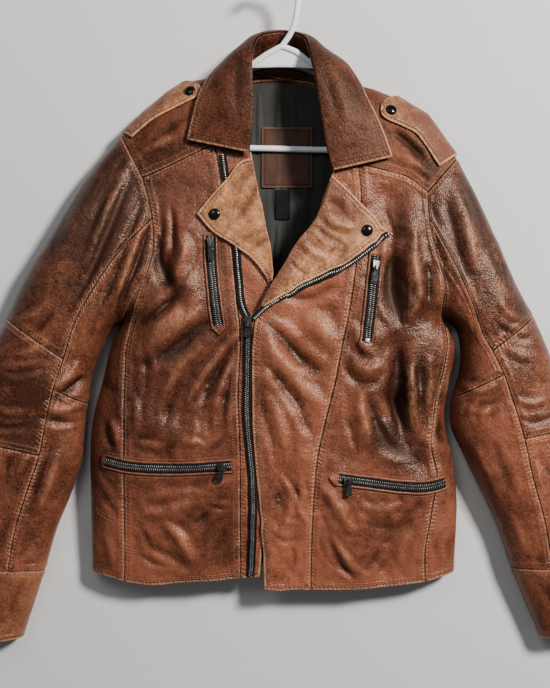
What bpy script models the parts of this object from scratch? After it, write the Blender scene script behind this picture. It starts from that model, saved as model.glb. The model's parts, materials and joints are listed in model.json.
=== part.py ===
"""Worn brown leather biker jacket on a plastic clothes hanger, laid flat on its back.

Tables are in millimetres and MM turns them into metres. +X is the wearer's left, +Y runs from the
hem to the collar, and +Z rises from the surface that the back lies on. The origin is on that
surface, under the middle of the back.
"""

import math

import bmesh
import bpy
import numpy as np
from mathutils import Matrix, Vector

MM = 0.001

# Cloth: walls, the gap left at each seam, and how the layers stack above the front's middle surface.
LEATHER = 2.0
LINING = 1.6
TAPE = 1.4
WELT = 1.2
SEAM_GAP = 0.9
UNDERARM_EASE = 2.6
MOST_SLANT = 0.35
MOST_PULL = 0.4
SURFACE_STEP = 2.0
WELT_LIFT = 2.6
TAPE_LIFT = 2.6
POCKET_ZIP_LIFT = 4.4
LAPEL_LIFT = 5.9
LAPEL_ROLL_RISE = 3.0
LAPEL_TIP_DROP = 0.8
EPAULETTE_LIFT = 3.7
OVERLAP_LIFT = 3.4
OVERLAP_REACH = 45.0
OVERLAP_HOLD = 1.6
FOLD_SPREAD = 1.6

# The flattened body: height of the widest point of its folds, and how far its folds round off.
FLOOR_LAYER = LEATHER / 2
FOLD_HEIGHT = 20.0
SIDE_ROUND = 62.0
SHOULDER_ROUND = 58.0
UNDER_ROUND = 20.0
FOLD_POWER = 2.3
CROWN_DROP = 0.12
FOLD_STEPS = 5
YOKE_STEPS = 8
HALF_CHEST = 250.0

# Body outline from hem to chest. Above the underarms the edges flare under the sleeves.
BODY_COLUMNS = ("y", "right_edge", "left_edge", "height")
BODY_ROWS = [
    (-335, -247, 241, 42),
    (-310, -248, 243, 45),
    (-213, -250, 247, 58),
    (-150, -251, 240, 63),
    (-125, -250, 233, 64),
    (-95, -246, 230, 65),
    (-50, -234, 237, 66),
    (-15, -226, 244, 66),
    (5, -221, 245, 66),
    (32, -207, 230, 66),
    (60, -250, 262, 66),
    (100, -310, 330, 65),
    (200, -420, 440, 60),
    (300, -520, 540, 55),
    (380, -560, 580, 47),
]

# Seams and edges of the fronts, each from hem to top. A side row is where the seam on the front is, and
# the height up the body at which its section reaches the fold: (seam_x, seam_y, fold_y).
RIGHT_SIDE_ROWS = [(-203, -320, -309), (-202, -277, -272), (-202, -235, -235), (-202, -192, -192),
                   (-202, -150, -150), (-201, -108, -108), (-201, -67, -67), (-200, -39, -42),
                   (-199, -11, -18), (-191, 28, 4), (-182, 58, 17), (-172, 90, 28)]
LEFT_SIDE_ROWS = [(203, -321, -310), (202, -275, -272), (207, -244, -244), (212, -213, -213),
                  (217, -176, -176), (209, -135, -137), (212, -103, -108), (216, -72, -80),
                  (226, -35, -48), (231, 3, -10), (224, 52, 32)]
RIGHT_ARMHOLE_FRONT = [(-172, 90), (-163, 123), (-164, 168), (-177, 222)]
RIGHT_PLACKET = [(-46, -315), (-46, -275), (-46, -235), (-46, -200), (-46, -167), (-47, -120), (-49, -74),
                 (-48, -38), (-46, -5), (-47, 25), (-50, 52), (-53, 80), (-57, 123), (-65, 168), (-80, 266)]
RIGHT_FRONT_EDGE = [(-21, -313), (-18, -275), (-16, -235), (-16, -200), (-16, -167), (-18, -120), (-20, -74),
                    (-20, -38), (-20, -5), (-17, 30), (-10, 56), (-3, 80), (-6, 123), (-15, 168), (-32, 256)]
LEFT_FRONT_EDGE = [(-14, -329), (-20, -220), (-25, -169), (-30, -96), (-30, -43), (-28, 10),
                   (-22, 47), (1, 85), (26, 128), (51, 161), (68, 205), (84, 248)]
LEFT_PRINCESS = [(48, -331), (51, -220), (57, -150), (68, -100), (80, -52), (90, 0),
                 (97, 33), (104, 75), (109, 118), (113, 161), (115, 200), (110, 240)]
LEFT_ARMHOLE_FRONT = [(224, 52), (226, 76), (215, 122), (206, 168), (204, 203)]
RIGHT_YOKE_SEAM = [(-177, 222), (-137, 240), (-98, 259), (-80, 266)]
LEFT_YOKE_SEAM_OUTER = [(204, 203), (178, 223), (140, 234), (110, 240)]
LEFT_YOKE_SEAM_INNER = [(110, 240), (97, 244), (84, 248)]
RIGHT_SHOULDER = [(-208, 284), (-176, 314), (-145, 340), (-119, 357), (-70, 365)]
LEFT_SHOULDER = [(247, 252), (206, 310), (166, 334), (134, 347), (92, 357)]
RIGHT_HEM = [(-203, -320), (-167, -325), (-124, -321), (-80, -318), (-46, -315)]
LEFT_CENTRE_HEM = [(-14, -329), (2, -331), (25, -331), (48, -331)]
LEFT_SIDE_HEM = [(48, -331), (101, -331), (150, -327), (203, -321)]

# Largest folds of the fronts, from (x0, y0) to (x1, y1), then width and rise: a ridge where rise is
# positive, a trough where it is negative.
FRONT_FOLDS = [
    (-118, 150, -122, 75, 26, 6),
    (-122, 75, -168, 20, 28, 6),
    (-152, 150, -138, 60, 20, -6),
    (-70, 40, -150, -20, 34, 5),
    (-190, -100, -120, -130, 30, 4),
    (-60, -20, -130, -90, 26, -4),
    (-130, -230, -100, -300, 34, 4),
    (150, 195, 152, 75, 24, -6),
    (176, 160, 192, 70, 28, 6),
    (160, -5, 158, -85, 22, -7),
    (158, -85, 196, -160, 22, -7),
    (128, 10, 130, -120, 26, 5),
    (-8, 10, 32, -150, 24, 5),
    (40, 40, 20, -60, 24, -4),
    (78, -185, 118, -315, 30, 4),
    (175, -215, 150, -300, 26, -3),
]

# Back, on the surface that the jacket lies on: its side seams from hem to underarm, and its upper seams
# from the armhole to the neck. Its armholes follow the front's.
BACK_SIDE_RIGHT = ((-200, -305), (-190, 58))
BACK_SIDE_LEFT = ((200, -305), (220, 58))
BACK_RIGHT_ARMHOLE = [(-190, 58), (-172, 90), (-163, 123), (-164, 168), (-177, 222), (-184, 246)]
BACK_LEFT_ARMHOLE = [(220, 58), (219, 80), (213, 122), (206, 168), (204, 203), (215, 222)]
BACK_YOKE_RIGHT = [(-184, 246), (-164, 292), (-132, 321), (-108, 338), (-71, 361.5)]
BACK_YOKE_LEFT = [(215, 222), (193, 285), (157, 312), (128, 324), (93, 354.5)]
BACK_NECK = [(-71, 361.5), (-61, 363.5), (-48, 370), (-26, 379), (-4, 382), (20, 382), (44, 376), (66, 366),
             (82, 357.5), (93, 354.5)]

# Collar from its right front end round the back of the neck to its left front end.
COLLAR_COLUMNS = ("roll_x", "roll_y", "roll_z", "edge_x", "edge_y", "edge_z", "seam_x", "seam_y", "seam_z",
                  "bulge")
COLLAR_ROWS = [
    (-35, 254, 70, -117, 272, 62, -72, 269, 58, 3),
    (-31, 291, 74, -111, 299, 62, -75.5, 296, 55, 5),
    (-30, 324, 75, -103, 328, 60, -72.7, 324, 51.5, 6),
    (-32, 357, 74, -90, 357, 53, -70.6, 347, 43.5, 7),
    (-32, 383, 72, -69, 381, 42, -68.6, 362, 29, 8),
    (-28, 404, 60, -46, 398, 24, -65, 366.5, 11, 8),
    (-18, 417, 46, -27, 408, 11, -26, 383, 5.5, 8),
    (0, 423, 36.5, -3, 413, 6, -4, 386, 5.5, 8),
    (20, 423, 34.5, 20, 413, 6, 20, 386, 5.5, 8),
    (37, 417, 41, 48, 408, 11, 44, 380, 6, 8),
    (46, 399, 56, 73, 394, 24, 87, 360.5, 10, 8),
    (51, 373, 70, 96, 378, 42, 90.5, 354, 29, 8),
    (56, 346, 74, 112, 354, 52, 89, 338, 44.5, 7),
    (60, 318, 76, 124, 328, 58, 87, 313, 52.5, 6),
    (64, 291, 76, 136, 302, 62, 85, 290, 55, 5),
    (69, 262, 75, 147, 276, 63, 83.5, 272, 56.5, 4),
    (78, 230, 72, 156, 249, 64, 82, 252, 59, 3),
]

STAND_BELOW_ROLL = 3.2

# Lapels: each from its lower point to its top, as outer edge, roll line and top edge.
RIGHT_LAPEL_EDGE = [(-9, 85), (-30, 113), (-56, 132), (-85, 151), (-104, 172)]
RIGHT_LAPEL_ROLL = [(-3, 83), (-4, 115), (-12, 155), (-21, 200), (-31, 246)]
RIGHT_LAPEL_TOP = [(-104, 172), (-84, 197), (-64, 220), (-44, 242), (-31, 246)]
LEFT_LAPEL_ROLL = [(-20, 50), (1, 86), (27, 130), (52, 163), (68, 200), (75, 222)]
LEFT_LAPEL_EDGE = [(-15, 50), (25, 73), (65, 92), (98, 110), (125, 130), (148, 150)]
LEFT_LAPEL_TOP = [(75, 222), (88, 211), (108, 192), (128, 171), (148, 150)]

# Epaulettes, from the sleeve seam to the buttoned tip: lower edge on the front, then upper edge, which runs
# along the shoulder fold and leaves it at the tip.
RIGHT_EPAULETTE = ([(-191, 276), (-178, 288), (-165, 299), (-149, 308), (-133, 316), (-117, 324),
                    (-107, 329), (-100, 334), (-98, 341)],
                   [(-206, 286), (-192, 299), (-176, 314), (-160.5, 327), (-145, 340), (-132, 348.5),
                    (-121, 354), (-111, 352), (-102, 347)])
LEFT_EPAULETTE = ([(219, 237), (208, 254), (197, 270), (186, 283), (173, 289), (160, 295), (149, 300),
                   (143, 305), (141, 311)],
                  [(244.5, 255.5), (233, 271.8), (220, 290), (206, 310), (186, 322), (166, 334), (156, 332),
                   (147, 326), (142, 319)])

# Sleeves from armhole to cuff: outer and inner edge, height, share of the armhole's curve, and where
# the lengthwise seam crosses the top, from 0 at the outer edge to 1 at the inner one.
SLEEVE_COLUMNS = ("outer_x", "outer_y", "inner_x", "inner_y", "height", "curve", "seam")
RIGHT_SLEEVE_ROWS = [
    (-208, 284, -207, 30, 60, 1.0, 0.43),
    (-252, 232, -219, 25, 68, 0.6, 0.52),
    (-300, 156, -231, 10, 70, 0.25, 0.62),
    (-340, 90, -240, -13, 68, 0.0, 0.70),
    (-364, 36, -250, -42, 64, 0.0, 0.72),
    (-388, -12, -257, -80, 66, 0.0, 0.71),
    (-404, -66, -261, -120, 62, 0.0, 0.69),
    (-420, -125, -265, -160, 60, 0.0, 0.68),
    (-432, -185, -280, -205, 57, 0.0, 0.66),
    (-441, -240, -299, -252, 55, 0.0, 0.66),
    (-450, -300, -315, -307, 52, 0.0, 0.68),
    (-462, -408, -345, -399, 47, 0.0, 0.71),
]
LEFT_SLEEVE_ROWS = [
    (247, 252, 230, 33, 60, 1.0, 0.43),
    (276, 196, 240, 30, 67, 0.6, 0.55),
    (304, 132, 250, 16, 69, 0.25, 0.66),
    (327, 82, 254, -8, 68, 0.0, 0.72),
    (350, 38, 252, -38, 64, 0.0, 0.62),
    (370, -6, 243, -72, 66, 0.0, 0.52),
    (386, -52, 240, -106, 62, 0.0, 0.47),
    (405, -112, 254, -142, 60, 0.0, 0.48),
    (419, -170, 277, -190, 57, 0.0, 0.52),
    (433, -230, 301, -240, 55, 0.0, 0.55),
    (448, -300, 323, -303, 52, 0.0, 0.60),
    (477, -378, 363, -399, 47, 0.0, 0.68),
]
SLEEVE_SPANS = {"upper_outer": (0, 4), "elbow_panel": (4, 7), "forearm_outer": (7, 10),
                "upper_inner": (0, 5), "forearm_inner": (5, 10), "cuff": (10, 11)}
SLEEVE_UNDER_SEAM = 0.5
SLEEVE_POWER = 2.6
SLEEVE_ROOT = 2.1

# Zips: the middle line of each. A slider row is its place, the way its tab points, its size, its tab's
# length and whether the tab lies across the zip: (x, y, pull_x, pull_y, scale, tab_length, across).
MAIN_ZIP_LINE = [(-33, -312), (-30, -246), (-31, -170), (-35, -130), (-38, -94), (-37, -40), (-36, 32)]
RIGHT_TAPE_LINE = [(-36, 34), (-38, 52), (-47, 95), (-52, 124), (-59, 180), (-70, 252)]
LEFT_TAPE_LINE = [(-14, 42), (25, 62), (65, 81), (100, 100), (129, 122), (151, 142)]
TAPE_WIDTH = 10.0
MAIN_ZIP_WIDTH = 9.0
POCKET_ZIP_WIDTH = 6.5
WELT_WIDTH = 15.0
WELT_ENDS = (5, 8)
POCKET_STEPS = 16
CHEST_STEPS = 8
POCKET_ZIPS = {
    "right_chest": [(-86, 143), (-85, 108), (-81, 66), (-75, 24)],
    "left_chest": [(134, 117), (130, 80), (126, 40), (121, 2)],
    "right_pocket": [(-226, -157), (-198, -163), (-153, -166), (-107, -165), (-58, -162)],
    "left_pocket": [(84, -179), (128, -185), (168, -190), (205, -191), (227, -186)],
}
SLIDERS = {
    "main": (-36, 30, -1, -20, 1.25, 15.0, False),
    "right_chest": (-86, 134, 1, -14, 1.0, 22.0, False),
    "left_chest": (132, 104, -2, -16, 1.0, 22.0, False),
    "right_pocket": (-70, -163, -4, -18, 1.0, 20.0, True),
    "left_pocket": (96, -181, 1, -18, 1.0, 20.0, True),
}
SLIDER_LENGTH = 12.0
SLIDER_WIDTH = 9.0
SLIDER_TAPER = 0.72
SLIDER_HEIGHT = 3.0
SLIDER_STAND = 0.6
BAIL_WIDTH = 1.8
BAIL_LEG = 2.6
BAIL_LEG_THICK = 1.2
BAIL_BAR = 1.0
BAIL_ROOT = 0.6
BAIL_CLEARANCE = 0.35
AXIS_HEIGHT = 1.9
AXIS_SETBACK = 3.6
TAB_THICK = 1.2
TAB_EYE_LENGTH = 4.2
TAB_EYE_WIDTH = 2.8
TAB_ARM = 1.4
TAB_CHAMFER = 0.5
TAB_CORNER = 1.5
TAB_WIDTH = 7.6
TAB_TILT = math.radians(9)

# Snap fasteners, the label, its tab, the hanging loop and the lining.
SNAPS = {"right_lapel_snap": (-80, 172, "lapel"), "left_lapel_snap": (121, 150, "lapel"),
         "right_epaulette_snap": (-113, 338, "epaulette"), "left_epaulette_snap": (155, 312, "epaulette")}
SNAP_RADIUS = 7.4
SNAP_HEIGHT = 3.6
SNAP_STAND = 0.5
SNAP_RIM = 0.8
SNAP_BROW = 0.15
SNAP_SIDES = 20
LINING_LIFT = 2.5
FACING_LIFT = 2.6
LABEL_LAYER = 5.6
LABEL_CORNERS = (-18, 216, 51, 298)
FABRIC_TAB_CORNERS = (1, 172, 20, 212)
FABRIC_TAB = 1.2
LOOP_ENDS = (-10.0, 40.0)
LOOP_Y = 371.0
LOOP_Z = 6.6
LOOP_SAG = 7.0
LOOP_RISE = 3.0
LOOP_RADIUS = 1.5

# Clothes hanger: a plane that rises from its bar to its hook.
HANGER_ROD = 4.3
HANGER_BEND = 4.0
HANGER_HOOK_ROD = 3.9
BAR_Y = 272.0
BAR_Z = 12.2
HANGER_RISE = 0.207
HANGER_CORNERS = [(-170, 278), (-160, 272), (191, 264), (200, 267), (199, 275), (25, 387),
                  (7, 399), (-12, 391), (-166, 290), (-173, 285)]
HOOK_LINE = [(7, 399), (12, 406), (20, 417), (26, 431), (29, 446)]
HOOK_START_DEGREES = -20
HOOK_CENTRE = (8, 468)
HOOK_RADIUS = 24.0
HOOK_END_DEGREES = 150

COLOURS = {
    "chestnut": ((0.23, 0.075, 0.035), 0.38, 0.0),
    "dark_chestnut": ((0.16, 0.05, 0.028), 0.38, 0.0),
    "tan": ((0.42, 0.19, 0.085), 0.42, 0.0),
    "worn_edge": ((0.31, 0.115, 0.05), 0.4, 0.0),
    "lining": ((0.045, 0.045, 0.035), 0.8, 0.0),
    "label": ((0.13, 0.045, 0.03), 0.45, 0.0),
    "black_tape": ((0.02, 0.02, 0.022), 0.7, 0.0),
    "gunmetal": ((0.12, 0.115, 0.11), 0.3, 1.0),
    "black_snap": ((0.015, 0.015, 0.017), 0.15, 1.0),
    "white_plastic": ((0.85, 0.86, 0.88), 0.35, 0.0),
}


def clear_scene():
    for obj in list(bpy.data.objects):
        bpy.data.objects.remove(obj, do_unlink=True)


def collection(name, hidden=False):
    made = bpy.data.collections.new(name)
    bpy.context.scene.collection.children.link(made)
    made.hide_render = hidden
    return made


def material(name, finish):
    colour, roughness, metallic = COLOURS[finish]
    made = bpy.data.materials.new(name)
    made.use_nodes = True
    shader = made.node_tree.nodes["Principled BSDF"]
    shader.inputs["Base Color"].default_value = (*colour, 1)
    shader.inputs["Roughness"].default_value = roughness
    shader.inputs["Metallic"].default_value = metallic
    made.diffuse_color = (*colour, 1)
    return made


def add_object(name, data, finish, group):
    obj = bpy.data.objects.new(name, data)
    obj.data.materials.append(material(name + "_finish", finish))
    group.objects.link(obj)
    return obj


def table(columns, rows):
    """A table's columns by name, as arrays."""
    return dict(zip(columns, np.array(rows, float).T))


BODY = table(BODY_COLUMNS, BODY_ROWS)
COLLAR = table(COLLAR_COLUMNS, COLLAR_ROWS)


def rounding(depth):
    """0 at a fold's edge, rising round it to 1 on the flat."""
    inside = np.clip(1 - depth, 0, 1)
    return (1 - inside**FOLD_POWER) ** (1 / FOLD_POWER)


def shoulder_depth(x, y):
    """How far a point lies below the nearer shoulder line, measured across that line."""
    depth = np.full(np.shape(x), 1e3)
    for line in (RIGHT_SHOULDER, LEFT_SHOULDER):
        for (x0, y0), (x1, y1) in zip(line, line[1:]):
            length = math.hypot(x1 - x0, y1 - y0)
            across = ((x - x0) * (y1 - y0) - (y - y0) * (x1 - x0)) / length
            depth = np.minimum(depth, across if x1 > x0 else -across)
    return depth


def fold_relief(x, y):
    """The rise of the largest folds at a point of the front."""
    relief = np.zeros(np.shape(x))
    for x0, y0, x1, y1, width, rise in FRONT_FOLDS:
        run = np.array([x1 - x0, y1 - y0], float)
        share = ((x - x0) * run[0] + (y - y0) * run[1]) / (run @ run)
        near = np.clip(share, 0, 1)
        away = np.hypot(x - x0 - near * run[0], y - y0 - near * run[1])
        relief = relief + rise * np.exp(-((away / width) ** 2) * FOLD_SPREAD)
    return relief


def front_height(x, y):
    """Height of the middle of the front's leather over a point of the floor."""
    x, y = np.asarray(x, float), np.asarray(y, float)
    right = np.interp(y, BODY["y"], BODY["right_edge"])
    left = np.interp(y, BODY["y"], BODY["left_edge"])
    height = np.interp(y, BODY["y"], BODY["height"]) * (1 - CROWN_DROP * (x / HALF_CHEST) ** 2)
    folds = rounding((x - right) / SIDE_ROUND) * rounding((left - x) / SIDE_ROUND)
    folds = folds * rounding(shoulder_depth(x, y) / SHOULDER_ROUND)
    return FOLD_HEIGHT + (height - FOLD_HEIGHT) * folds + fold_relief(x, y) * folds**3


def on_front(x, y, lift=0.0):
    """A point of the front's middle surface, moved out by lift."""
    x, y = np.asarray(x, float), np.asarray(y, float)
    slope_x = (front_height(x + SURFACE_STEP, y) - front_height(x - SURFACE_STEP, y)) / (2 * SURFACE_STEP)
    slope_y = (front_height(x, y + SURFACE_STEP) - front_height(x, y - SURFACE_STEP)) / (2 * SURFACE_STEP)
    size = np.sqrt(slope_x**2 + slope_y**2 + 1)
    normal = np.stack([-slope_x / size, -slope_y / size, 1 / size], -1)
    base = np.stack([x, y, front_height(x, y)], -1)
    return base + normal * np.asarray(lift, float)[..., None]


def under_height(depth):
    """Height of the lower layer, depth inside a fold's edge."""
    inside = np.clip(1 - np.asarray(depth, float) / UNDER_ROUND, 0, 1)
    return FLOOR_LAYER + (FOLD_HEIGHT - FLOOR_LAYER) * (1 - np.sqrt(1 - inside**2))


def split(line, parts):
    """A polyline's own points, with each of its stretches divided into parts."""
    line = np.array(line, float)
    shares = np.arange(parts) / parts
    inner = [a + (b - a) * s for a, b in zip(line, line[1:]) for s in shares]
    return np.array(inner + [line[-1]])


def spread(line, count):
    """count + 1 points evenly along a polyline."""
    line = np.array(line, float)
    lengths = np.concatenate([[0], np.cumsum(np.linalg.norm(np.diff(line, axis=0), axis=1))])
    at = np.linspace(0, lengths[-1], count + 1)
    return np.stack([np.interp(at, lengths, axis) for axis in line.T], -1)


def patch(left, right, bottom, top):
    """Points filling four edges. left and right rise from bottom to top, and hold as many points."""
    left, right = np.array(left, float), np.array(right, float)
    bottom, top = np.array(bottom, float), np.array(top, float)
    u = np.linspace(0, 1, len(bottom))[None, :, None]
    v = np.linspace(0, 1, len(left))[:, None, None]
    between = (1 - u) * left[:, None] + u * right[:, None] + (1 - v) * bottom[None] + v * top[None]
    lower = (1 - u) * left[0] + u * right[0]
    upper = (1 - u) * left[-1] + u * right[-1]
    return between - (1 - v) * lower - v * upper


def pull_in(points, gap=SEAM_GAP / 2, sides="lrbt"):
    """A grid of points whose outer rows and columns move in by gap, so that pieces don't touch."""
    grid = np.array(points, float)

    def moved(edge, inner):
        way = inner - edge
        length = np.linalg.norm(way, axis=-1, keepdims=True)
        way = way / length
        along = np.gradient(edge, axis=0)
        along = along / np.linalg.norm(along, axis=-1, keepdims=True)
        across = way - along * (way * along).sum(-1, keepdims=True)
        slant = np.linalg.norm(across, axis=-1, keepdims=True)
        return edge + way * np.minimum(gap / np.maximum(slant, MOST_SLANT), MOST_PULL * length)

    if "b" in sides:
        grid[0] = moved(grid[0], grid[1])
    if "t" in sides:
        grid[-1] = moved(grid[-1], grid[-2])
    if "l" in sides:
        grid[:, 0] = moved(grid[:, 0], grid[:, 1])
    if "r" in sides:
        grid[:, -1] = moved(grid[:, -1], grid[:, -2])
    return grid


def shell(name, points, finish, group, thickness=LEATHER, round_trip=False):
    """A wall of even thickness about a grid of points. round_trip joins its last column to its first."""
    rows, columns = points.shape[:2]
    mesh = bpy.data.meshes.new(name)
    build = bmesh.new()
    grid = [[build.verts.new(Vector(points[r, c]) * MM) for c in range(columns)] for r in range(rows)]
    for r in range(rows - 1):
        for c in range(columns if round_trip else columns - 1):
            n = (c + 1) % columns
            a, b, d, e = grid[r][c], grid[r][n], grid[r + 1][n], grid[r + 1][c]
            if (a.co - d.co).length <= (b.co - e.co).length:
                build.faces.new((a, b, d))
                build.faces.new((a, d, e))
            else:
                build.faces.new((a, b, e))
                build.faces.new((b, d, e))
    build.to_mesh(mesh)
    build.free()
    mesh.shade_smooth()
    obj = add_object(name, mesh, finish, group)
    wall = obj.modifiers.new("wall", "SOLIDIFY")
    wall.thickness = thickness * MM
    wall.offset = 0
    return obj


def front_piece(name, grid, finish, group, lift=0.0, thickness=LEATHER, gap=SEAM_GAP / 2, sides="lrbt"):
    """A piece of the front from its grid of places in plan."""
    inset = pull_in(grid, gap, sides)
    return shell(name, on_front(inset[..., 0], inset[..., 1], lift), finish, group, thickness)


def strip(centre, width):
    """A grid of places in plan, width wide, along the points of a middle line."""
    along = np.gradient(centre, axis=0)
    along = along / np.linalg.norm(along, axis=1, keepdims=True)
    across = np.stack([-along[:, 1], along[:, 0]], -1)
    half = np.broadcast_to(np.asarray(width, float) / 2, len(centre))[:, None]
    return np.stack([centre + across * half, centre, centre - across * half], 1)


def keep_points(line, count):
    """count + 1 points along a seam: its own ones, and spare ones halfway along its longest stretches."""
    line = [np.array(point, float) for point in line]
    while len(line) < count + 1:
        lengths = [np.linalg.norm(after - before) for before, after in zip(line, line[1:])]
        longest = int(np.argmax(lengths))
        line.insert(longest + 1, (line[longest] + line[longest + 1]) / 2)
    return np.array(line)


def seam_line(rows):
    """The seam of a side panel's rows, from hem to underarm."""
    return [(x, y) for x, y, _ in rows]


def make_right_fronts(group):
    outer = seam_line(RIGHT_SIDE_ROWS) + RIGHT_ARMHOLE_FRONT[1:]
    grid = patch(outer, RIGHT_PLACKET, split(RIGHT_HEM, 2), keep_points(RIGHT_YOKE_SEAM, 8))
    front_piece("right_front", grid, "dark_chestnut", group)
    bottom = spread([RIGHT_PLACKET[0], RIGHT_FRONT_EDGE[0]], 2)
    top = spread([RIGHT_PLACKET[-1], RIGHT_FRONT_EDGE[-1]], 2)
    front_piece("right_front_edge", patch(RIGHT_PLACKET, RIGHT_FRONT_EDGE, bottom, top), "chestnut", group)


def overlap_lift(grid):
    """The left front rides up over the right one's edge, and settles again away from it."""
    away = np.linalg.norm(grid - grid[:, :1], axis=-1)
    ease = np.clip(1 - away / OVERLAP_REACH, 0, 1)
    return OVERLAP_LIFT * np.minimum(1, ease * ease * (3 - 2 * ease) * OVERLAP_HOLD)


def make_left_fronts(group):
    bottom = keep_points(LEFT_CENTRE_HEM, 6)
    top = keep_points(LEFT_YOKE_SEAM_INNER[::-1], 6)
    centre = patch(LEFT_FRONT_EDGE, LEFT_PRINCESS, bottom, top)
    front_piece("left_front_centre", centre, "chestnut", group, overlap_lift(centre))
    outer = seam_line(LEFT_SIDE_ROWS) + LEFT_ARMHOLE_FRONT[1:]
    inner = keep_points(LEFT_PRINCESS, len(outer) - 1)
    side = patch(inner, outer, keep_points(LEFT_SIDE_HEM, 7), keep_points(LEFT_YOKE_SEAM_OUTER[::-1], 7))
    front_piece("left_front_side", side, "dark_chestnut", group)


def fold_profile(front, fold, back):
    """Points from a place on the front, round a fold of the body, to a place on the back."""
    front, fold, back = (np.array(place, float) for place in (front, fold, back))
    turns = (1 - np.cos(np.linspace(0, math.pi / 2, FOLD_STEPS + 1)))[:, None]
    over = fold + (front - fold) * turns[::-1]
    under = fold + (back - fold) * turns[1:]
    heights = np.concatenate([front_height(over[:, 0], over[:, 1]),
                              under_height(np.linalg.norm(under - fold, axis=1))])
    return np.column_stack([np.concatenate([over, under]), heights])


def side_profiles(rows, edge_column, back_seam):
    """Sections of a side panel, from the front's seam round to the back's, one for each row."""
    made = []
    for share, (seam_x, seam_y, fold_y) in zip(np.linspace(0, 1, len(rows)), rows):
        fold_x = np.interp(fold_y, BODY["y"], BODY[edge_column])
        start, end = np.array(back_seam, float)
        made.append(fold_profile((seam_x, seam_y), (fold_x, fold_y), start + (end - start) * share))
    return np.array(made)


def yoke_profiles(seam, shoulder, back_line):
    """Sections of a yoke, from the front's yoke seam over the shoulder to the back, from armhole to neck."""
    lines = [keep_points(line, YOKE_STEPS) for line in (seam, shoulder, back_line)]
    return np.array([fold_profile(*places) for places in zip(*lines)])


def right_side():
    return side_profiles(RIGHT_SIDE_ROWS, "right_edge", BACK_SIDE_RIGHT)


def left_side():
    return side_profiles(LEFT_SIDE_ROWS, "left_edge", BACK_SIDE_LEFT)


def right_yoke():
    return yoke_profiles(RIGHT_YOKE_SEAM, RIGHT_SHOULDER, BACK_YOKE_RIGHT)


def left_yoke():
    return yoke_profiles(LEFT_YOKE_SEAM_OUTER + LEFT_YOKE_SEAM_INNER[1:], LEFT_SHOULDER, BACK_YOKE_LEFT)


def make_sides_and_yokes(group):
    shell("right_side_panel", pull_in(right_side()), "dark_chestnut", group)
    shell("left_side_panel", pull_in(left_side()[:, ::-1]), "dark_chestnut", group)
    shell("right_yoke", pull_in(right_yoke()), "worn_edge", group)
    shell("left_yoke", pull_in(left_yoke()[:, ::-1]), "worn_edge", group)


def back_height(x, y):
    """Height of the middle of the back's leather, which rises only where it meets the shoulder folds."""
    places = np.stack([x, y], -1)
    nearest = np.full(np.shape(x), np.inf)
    for line in (np.array(RIGHT_SHOULDER, float), np.array(LEFT_SHOULDER, float)):
        for start, run in zip(line, np.diff(line, axis=0)):
            share = np.clip((places - start) @ run / (run @ run), 0, 1)
            nearest = np.minimum(nearest, np.linalg.norm(places - start - share[..., None] * run, axis=-1))
    return under_height(nearest)


def on_back(grid, lift=0.0):
    """A grid of places in plan, laid lift above the back's middle surface."""
    return np.concatenate([grid, back_height(grid[..., 0], grid[..., 1])[..., None] + lift], -1)


def make_back(group):
    right, left = (keep_points(side, 4).tolist() + armhole[1:] + keep_points(yoke, YOKE_STEPS).tolist()[1:]
                   for side, armhole, yoke in ((BACK_SIDE_RIGHT, BACK_RIGHT_ARMHOLE, BACK_YOKE_RIGHT),
                                               (BACK_SIDE_LEFT, BACK_LEFT_ARMHOLE, BACK_YOKE_LEFT)))
    grid = patch(right, left, spread([right[0], left[0]], len(BACK_NECK) - 1), BACK_NECK)
    shell("back_panel", on_back(pull_in(grid)), "dark_chestnut", group)


def armhole_loop(yoke, side, front_armhole, back_armhole):
    """The armhole's points from the shoulder fold to the underarm: over the front, and under the back."""
    def raised(places, height_of):
        places = np.array(places, float)
        return np.column_stack([places, height_of(places[:, 0], places[:, 1])])

    shoulder, underarm = yoke[0], side[-1]
    front = raised(front_armhole[::-1], front_height)
    back = raised(back_armhole[::-1], lambda x, y: np.full(len(x), FLOOR_LAYER))
    over = np.concatenate([shoulder[:FOLD_STEPS + 1][::-1], front[1:], underarm[1:FOLD_STEPS + 1]])
    under = np.concatenate([shoulder[FOLD_STEPS:], back[1:], underarm[FOLD_STEPS:][::-1][1:]])
    return over, under


def quarter_shares(count, start, end):
    """count + 1 shares from start to end, close together where they leave the nearer edge."""
    turns = 1 - np.cos(np.linspace(0, math.pi / 2, count + 1))
    if start == 0:
        return end * turns
    return 1 - (1 - start) * turns[::-1]


def plain_section(row, shares, under):
    """A sleeve's straight section, on its upper or its lower layer, without the armhole's curve."""
    outer = np.array([row["outer_x"], row["outer_y"]], float)
    inner = np.array([row["inner_x"], row["inner_y"]], float)
    places = outer + (inner - outer) * shares[:, None]
    if under:
        width = np.linalg.norm(inner - outer)
        height = under_height(np.minimum(shares, 1 - shares) * width)
    else:
        arch = np.clip(1 - np.abs(2 * shares - 1) ** SLEEVE_POWER, 0, 1) ** (1 / SLEEVE_ROOT)
        height = FOLD_HEIGHT + (row["height"] - FOLD_HEIGHT) * arch
    return np.column_stack([places, height])


def sleeve_quarter(row, first_row, points, start, end, under):
    """A section from one seam to one edge of the sleeve, blended with the armhole's points there."""
    first_seam = SLEEVE_UNDER_SEAM if under else first_row["seam"]
    from_outer = start == 0
    own = quarter_shares(len(points) - 1, start, end)
    ends = (0, first_seam) if from_outer else (first_seam, 1)
    at_armhole = quarter_shares(len(points) - 1, *ends)
    curve = points - plain_section(first_row, at_armhole, under)
    return plain_section(row, own, under) + row["curve"] * curve


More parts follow.
